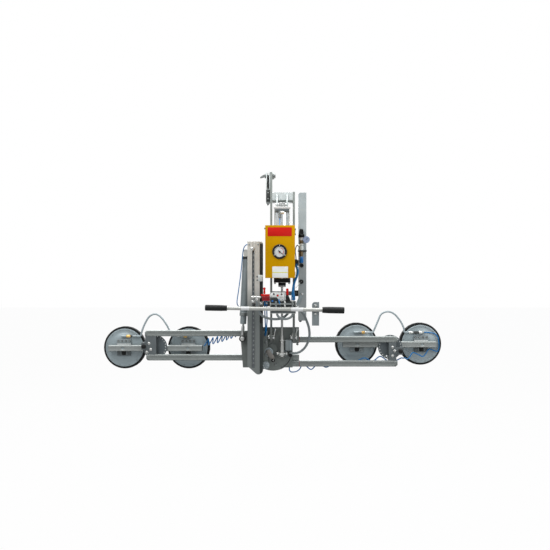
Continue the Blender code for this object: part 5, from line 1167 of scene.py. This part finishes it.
drilled = {"x": -0.05, "z": -1.298, "radius": 0.0262}
addTurned("drilledDisc", (drilled["x"], mast["footFront"], drilled["z"]), toFront,
    [(0, drilled["radius"]), (0.005, drilled["radius"]), (0.006, drilled["radius"] - 0.001),
    (0.006, 0.001)], "plate_blue_grey", "head", sides=48)
addBolts("drilledHoles", around(drilled["x"], -0.0164, drilled["z"], 0.017, range(0, 360, 60)), toFront,
    0.003, "whitePlate", "head", kind="pan")
addBolts("headPlateBolts", [(0.02, head["face"], -1.3), (0.07, head["face"], -1.315),
    (-0.05, head["face"], -1.06)], toFront, 0.007, "zinc", "head")
addBlock("headEdge", (-0.083, 0.0378, -1.046), (0.179, 0.0399, -1.0402), "darkPaint", "head", bevel=0.0008)

# Tilt rod: stepped collar down the cylinder's lean, clevis bolts and pin
addTurned("rodCollar", (topX, topY, topZ - 0.9), downward,
    [(0, 0.0085), (0.002, 0.012), (0.014, 0.012), (0.016, 0.0095), (0.022, 0.0095), (0.023, 0.0205),
    (0.029, 0.0205), (0.03, 0.011), (0.04, 0.011), (0.041, 0.015), (0.105, 0.015), (0.108, 0.012)],
    "bright_steel", "tilt_rod", sides=40, lean=tilted)
addBolts("clevisBolts", [(0.04, -0.011, -1.218), (0.084, -0.011, -1.218)], toFront, 0.0048,
    "bright_steel", "tilt_rod")
addTurned("clevisPin", (0.025, 0.001, -1.22), toRight, [(0, 0.008), (0.002, 0.01), (0.01, 0.01),
    (0.011, 0.007), (0.063, 0.007), (0.064, 0.01), (0.072, 0.01), (0.074, 0.008)], "bright_steel",
    "tilt_rod", sides=28)
print("head dressed")

# Arms: end-post bolts, sleeve bolts and seams, red tape, tube plugs
arms = {"left": {"body": "arm_left", "bolts": ((-0.864, -1.156), (-0.852, -1.198), (-0.88, -1.218))},
        "right": {"body": "arm_right", "bolts": ((0.833, -1.182), (0.848, -1.208), (0.833, -1.242))}}
for side, arm in arms.items():
    addBolts(f"{side}PostBolts", [(x, 0.0648, z) for x, z in arm["bolts"]], toFront, 0.0078,
        "bright_steel", arm["body"])
sleeveBolts = {"left": (-0.195, -0.135), "right": (0.105, 0.17)}
for side, columns in sleeveBolts.items():
    spots = [(x, 0.0603, z) for x in columns for z in (-1.075, -1.16, -1.22, -1.308)]
    addBolts(f"{side}SleeveBolts", spots, toFront, 0.0066, "zinc", "cross_frame")
for number, z in enumerate((-1.2175, -1.272)):
    addBlock(f"sleeveSeam{number}", (-0.205, 0.0598, z), (-0.176, 0.0604, z + 0.0035), "darkPaint",
        "cross_frame", bevel=0.0004)
for name, z in (("tapeHigh", -1.1283), ("tapeLow", -1.2966)):
    addBlock(name, (0.1828, 0.0644, z - 0.0206), (0.185, 0.1056, z + 0.0206), "darkRed", "arm_right",
        bevel=0.0003)
for name, body, x, z in (("plugLeftHigh", "arm_left", 0.1815, -1.0857),
        ("plugLeftLow", "arm_left", 0.1815, -1.254), ("plugRightHigh", "arm_right", -0.2081, -1.1283),
        ("plugRightLow", "arm_right", -0.2081, -1.2966)):
    inward = -0.003 if x > 0 else 0.003
    addBlock(name, (min(x, x + inward), 0.0665, z - 0.0185), (max(x, x + inward), 0.1035, z + 0.0185),
        "black_plastic", body, bevel=0.0012)

# Index discs: bored face, a bush at every fifteen degrees, spring knob with its pin and ferrule
discs = {
    "left": {"x": -0.83, "knob": (-0.8975, -1.1755)},
    "right": {"x": 0.8235, "knob": (0.8868, -1.2089)},
}
discZ, discRadius, bushCircle, discFront = -1.184, 0.085, 0.0755, 0.106
for side, disc in discs.items():
    x, z = disc["knob"]
    barBody, knobBody = f"cup_bar_{side}", f"index_knob_{side}"
    addBolts(f"{side}DiscBushes", around(disc["x"], discFront, discZ, bushCircle, range(0, 360, 15)),
        toFront, 0.0036, "whitePlate", barBody, kind="pan")
    addTurned(f"{side}IndexPin", (x, discFront, z), toFront,
        [(0, 0.0036), (0.0012, 0.0045), (0.05, 0.0045)], "bright_steel", knobBody, sides=24,
        stands=(knobBody,))
    addTurned(f"{side}IndexGrip", (x, 0.0577, z), toFront, [
        (0.0004, 0.006), (0.004, 0.006), (0.005, 0.012), (0.01, 0.0158), (0.018, 0.0158), (0.0225, 0.0135),
        (0.0245, 0.006)], "black_plastic", knobBody, sides=40)
    addTurned(f"{side}IndexFerrule", (x, 0.0648, z), toFront, [
        (0, 0.0098), (0.0034, 0.0098), (0.0034, 0.0068), (0.0004, 0.0068)], "zinc", f"arm_{side}", sides=24)
    face = addTurned(f"{side}DiscFace", (disc["x"], 0.1145, discZ), toFront,
        [(0, discRadius - 0.001), (0.001, discRadius), (0.0078, discRadius),
        (0.0084, discRadius - 0.0008), (0.0084, 0.001)], "discSteel", barBody, sides=96)
    for quarter in (-90, 0, 90):
        spot = Vector((x - disc["x"], z - discZ))
        spot.rotate(Matrix.Rotation(radians(quarter), 2))
        boreHole(face, (disc["x"] + spot.x, 0.11, spot.y + discZ), 0.0058, 0.03)

# Cup bars: dark open ends
barEnds = {"cup_bar_left": (-1.16, -0.5, -1.195), "cup_bar_right": (0.4935, 1.1535, -1.1685)}
for body, (low, high, z) in barEnds.items():
    for name, x in (("Low", low), ("High", high)):
        addBlock(f"{body}End{name}", (x - 0.0003, 0.1175, z - 0.0165), (x + 0.0003, 0.1505, z + 0.0165),
            "rubber", body, bevel=0)

# The four cups: crowned plate, rim, bolted bracket, buffer and a row of vacuum fittings.
# A row runs from the cup's middle to its hose: start, length, radius, look and sides of each fitting.
cups = {
    "left_outer": {"x": -1.0585, "z": -1.195, "way": 1, "row": [
        (-0.008, 0.024, 0.008, "oldBrass", 24), (0.016, 0.03, 0.0108, "brass", 6),
        (0.046, 0.016, 0.0085, "dark_steel", 24), (0.062, 0.026, 0.0092, "zinc", 6)]},
    "left_inner": {"x": -0.6015, "z": -1.195, "way": -1, "row": [
        (-0.012, 0.02, 0.0078, "oldBrass", 24), (0.008, 0.026, 0.0108, "brass", 6),
        (0.034, 0.024, 0.0078, "bright_steel", 24), (0.058, 0.03, 0.0092, "bright_steel", 6)]},
    "right_inner": {"x": 0.595, "z": -1.1685, "way": 1, "row": [
        (-0.01, 0.02, 0.0078, "oldBrass", 24), (0.01, 0.024, 0.009, "dark_steel", 6),
        (0.034, 0.024, 0.0108, "brass", 6), (0.058, 0.03, 0.0092, "bright_steel", 6)]},
    "right_outer": {"x": 1.052, "z": -1.1685, "way": -1, "row": [
        (-0.02, 0.01, 0.0085, "brass", 6), (-0.01, 0.026, 0.01, "bright_steel", 24),
        (0.016, 0.04, 0.0105, "dark_steel", 6), (0.056, 0.032, 0.0088, "bright_steel", 24)]},
}
plateR, sealR, screwCircle = 0.1345, 0.15, 0.1265
fittingY, fittingRise = 0.157, 0.083
cupBracket = {"front": 0.1545, "back": 0.16, "half": 0.05, "boltColumns": (-0.04, -0.0135, 0.0135, 0.04),
    "boltRise": 0.048}
dish = [(-0.0075, plateR - 0.001), (-0.006, plateR + 0.0002), (0.0, plateR + 0.0002),
    (0.0008, plateR - 0.002), (0.0009, plateR - 0.008), (0.0004, plateR - 0.011), (0.0004, 0.102),
    (0.0022, 0.099), (0.003, 0.05), (0.003, 0.001)]
rimRing = [(-0.015, sealR - 0.006), (-0.0075, sealR - 0.0004), (-0.004, sealR), (-0.001, sealR - 0.001),
    (0.0, sealR - 0.006), (-0.001, plateR + 0.0006), (-0.002, plateR - 0.003)]
for name, cup in cups.items():
    x, z, way = cup["x"], cup["z"], cup["way"]
    body = f"cup_{name}"
    word = "".join(part.capitalize() for part in name.split("_"))
    addTurned(f"dish{word}", (x, 0.1728, z), toFront, dish, "cupPaint", body, sides=120)
    addTurned(f"sealRing{word}", (x, 0.18, z), toFront, rimRing, "rubber", body, sides=120)
    addBolts(f"rimScrews{word}", around(x, 0.1714, z, screwCircle, range(15, 360, 30)), toFront, 0.0034,
        "zinc", body, kind="pan")
    addBlock(f"bracketTop{word}", (x - cupBracket["half"], cupBracket["front"], z + 0.021),
        (x + cupBracket["half"], cupBracket["back"], z + 0.062), "grey_paint", body, bevel=0.0018)
    addBlock(f"bracketLow{word}", (x - 0.049, 0.1562, z - 0.056), (x + 0.049, 0.1606, z - 0.0215),
        "grey_paint" if "inner" in name else "darkPaint", body, bevel=0.0018)
    addBlock(f"bracketStrip{word}", (x - cupBracket["half"], 0.1528, z + 0.023),
        (x + cupBracket["half"], 0.1546, z + 0.029), "bandPale", body, bevel=0.0006)
    columns = [(x + offset, z + cupBracket["boltRise"]) for offset in cupBracket["boltColumns"]]
    addBolts(f"bracketBolts{word}", [(a, cupBracket["front"], b) for a, b in columns], toFront, 0.005,
        "dark_steel", body)
    addBolts(f"bracketStuds{word}", [(a, 0.15, b) for a, b in columns], toFront, 0.0022, "bandPale",
        body, kind="pan")
    addPlate(f"saddle{word}", across((x, z), [(-0.024, -0.0205), (0.024, -0.0205), (0.013, -0.052),
        (-0.013, -0.052)]), cupBracket["back"], cupBracket["front"], "dark_steel", body, bevel=0.0015)
    addTurned(f"buffer{word}", (x, 0.148, z - 0.0205), downward,
        [(0, 0.0085), (0.002, 0.011), (0.016, 0.011), (0.02, 0.0085), (0.03, 0.008)], "rubber", body,
        sides=28)
    for side, offset in (("L", -0.02), ("R", 0.02)):
        addBlock(f"bufferPlate{side}{word}", (x + offset - 0.003, 0.147, z - 0.048),
            (x + offset + 0.003, 0.16, z - 0.021), "grey_paint", body, bevel=0.0008)
    for number, (start, long, radius, look, sides) in enumerate(cup["row"]):
        addTurned(f"fitting{word}{number}", (x + way * start, fittingY, z + fittingRise), (way, 0, 0),
            [(0, radius * 0.88), (long * 0.08, radius), (long * 0.92, radius), (long, radius * 0.88)],
            look, body, sides=sides)
    addTurned(f"fittingFoot{word}", (x + way * 0.02, fittingY, z + fittingRise), toBack,
        [(0, 0.0075), (0.0155, 0.0075)], "bright_steel", body, sides=24)
print("arms and cups dressed")
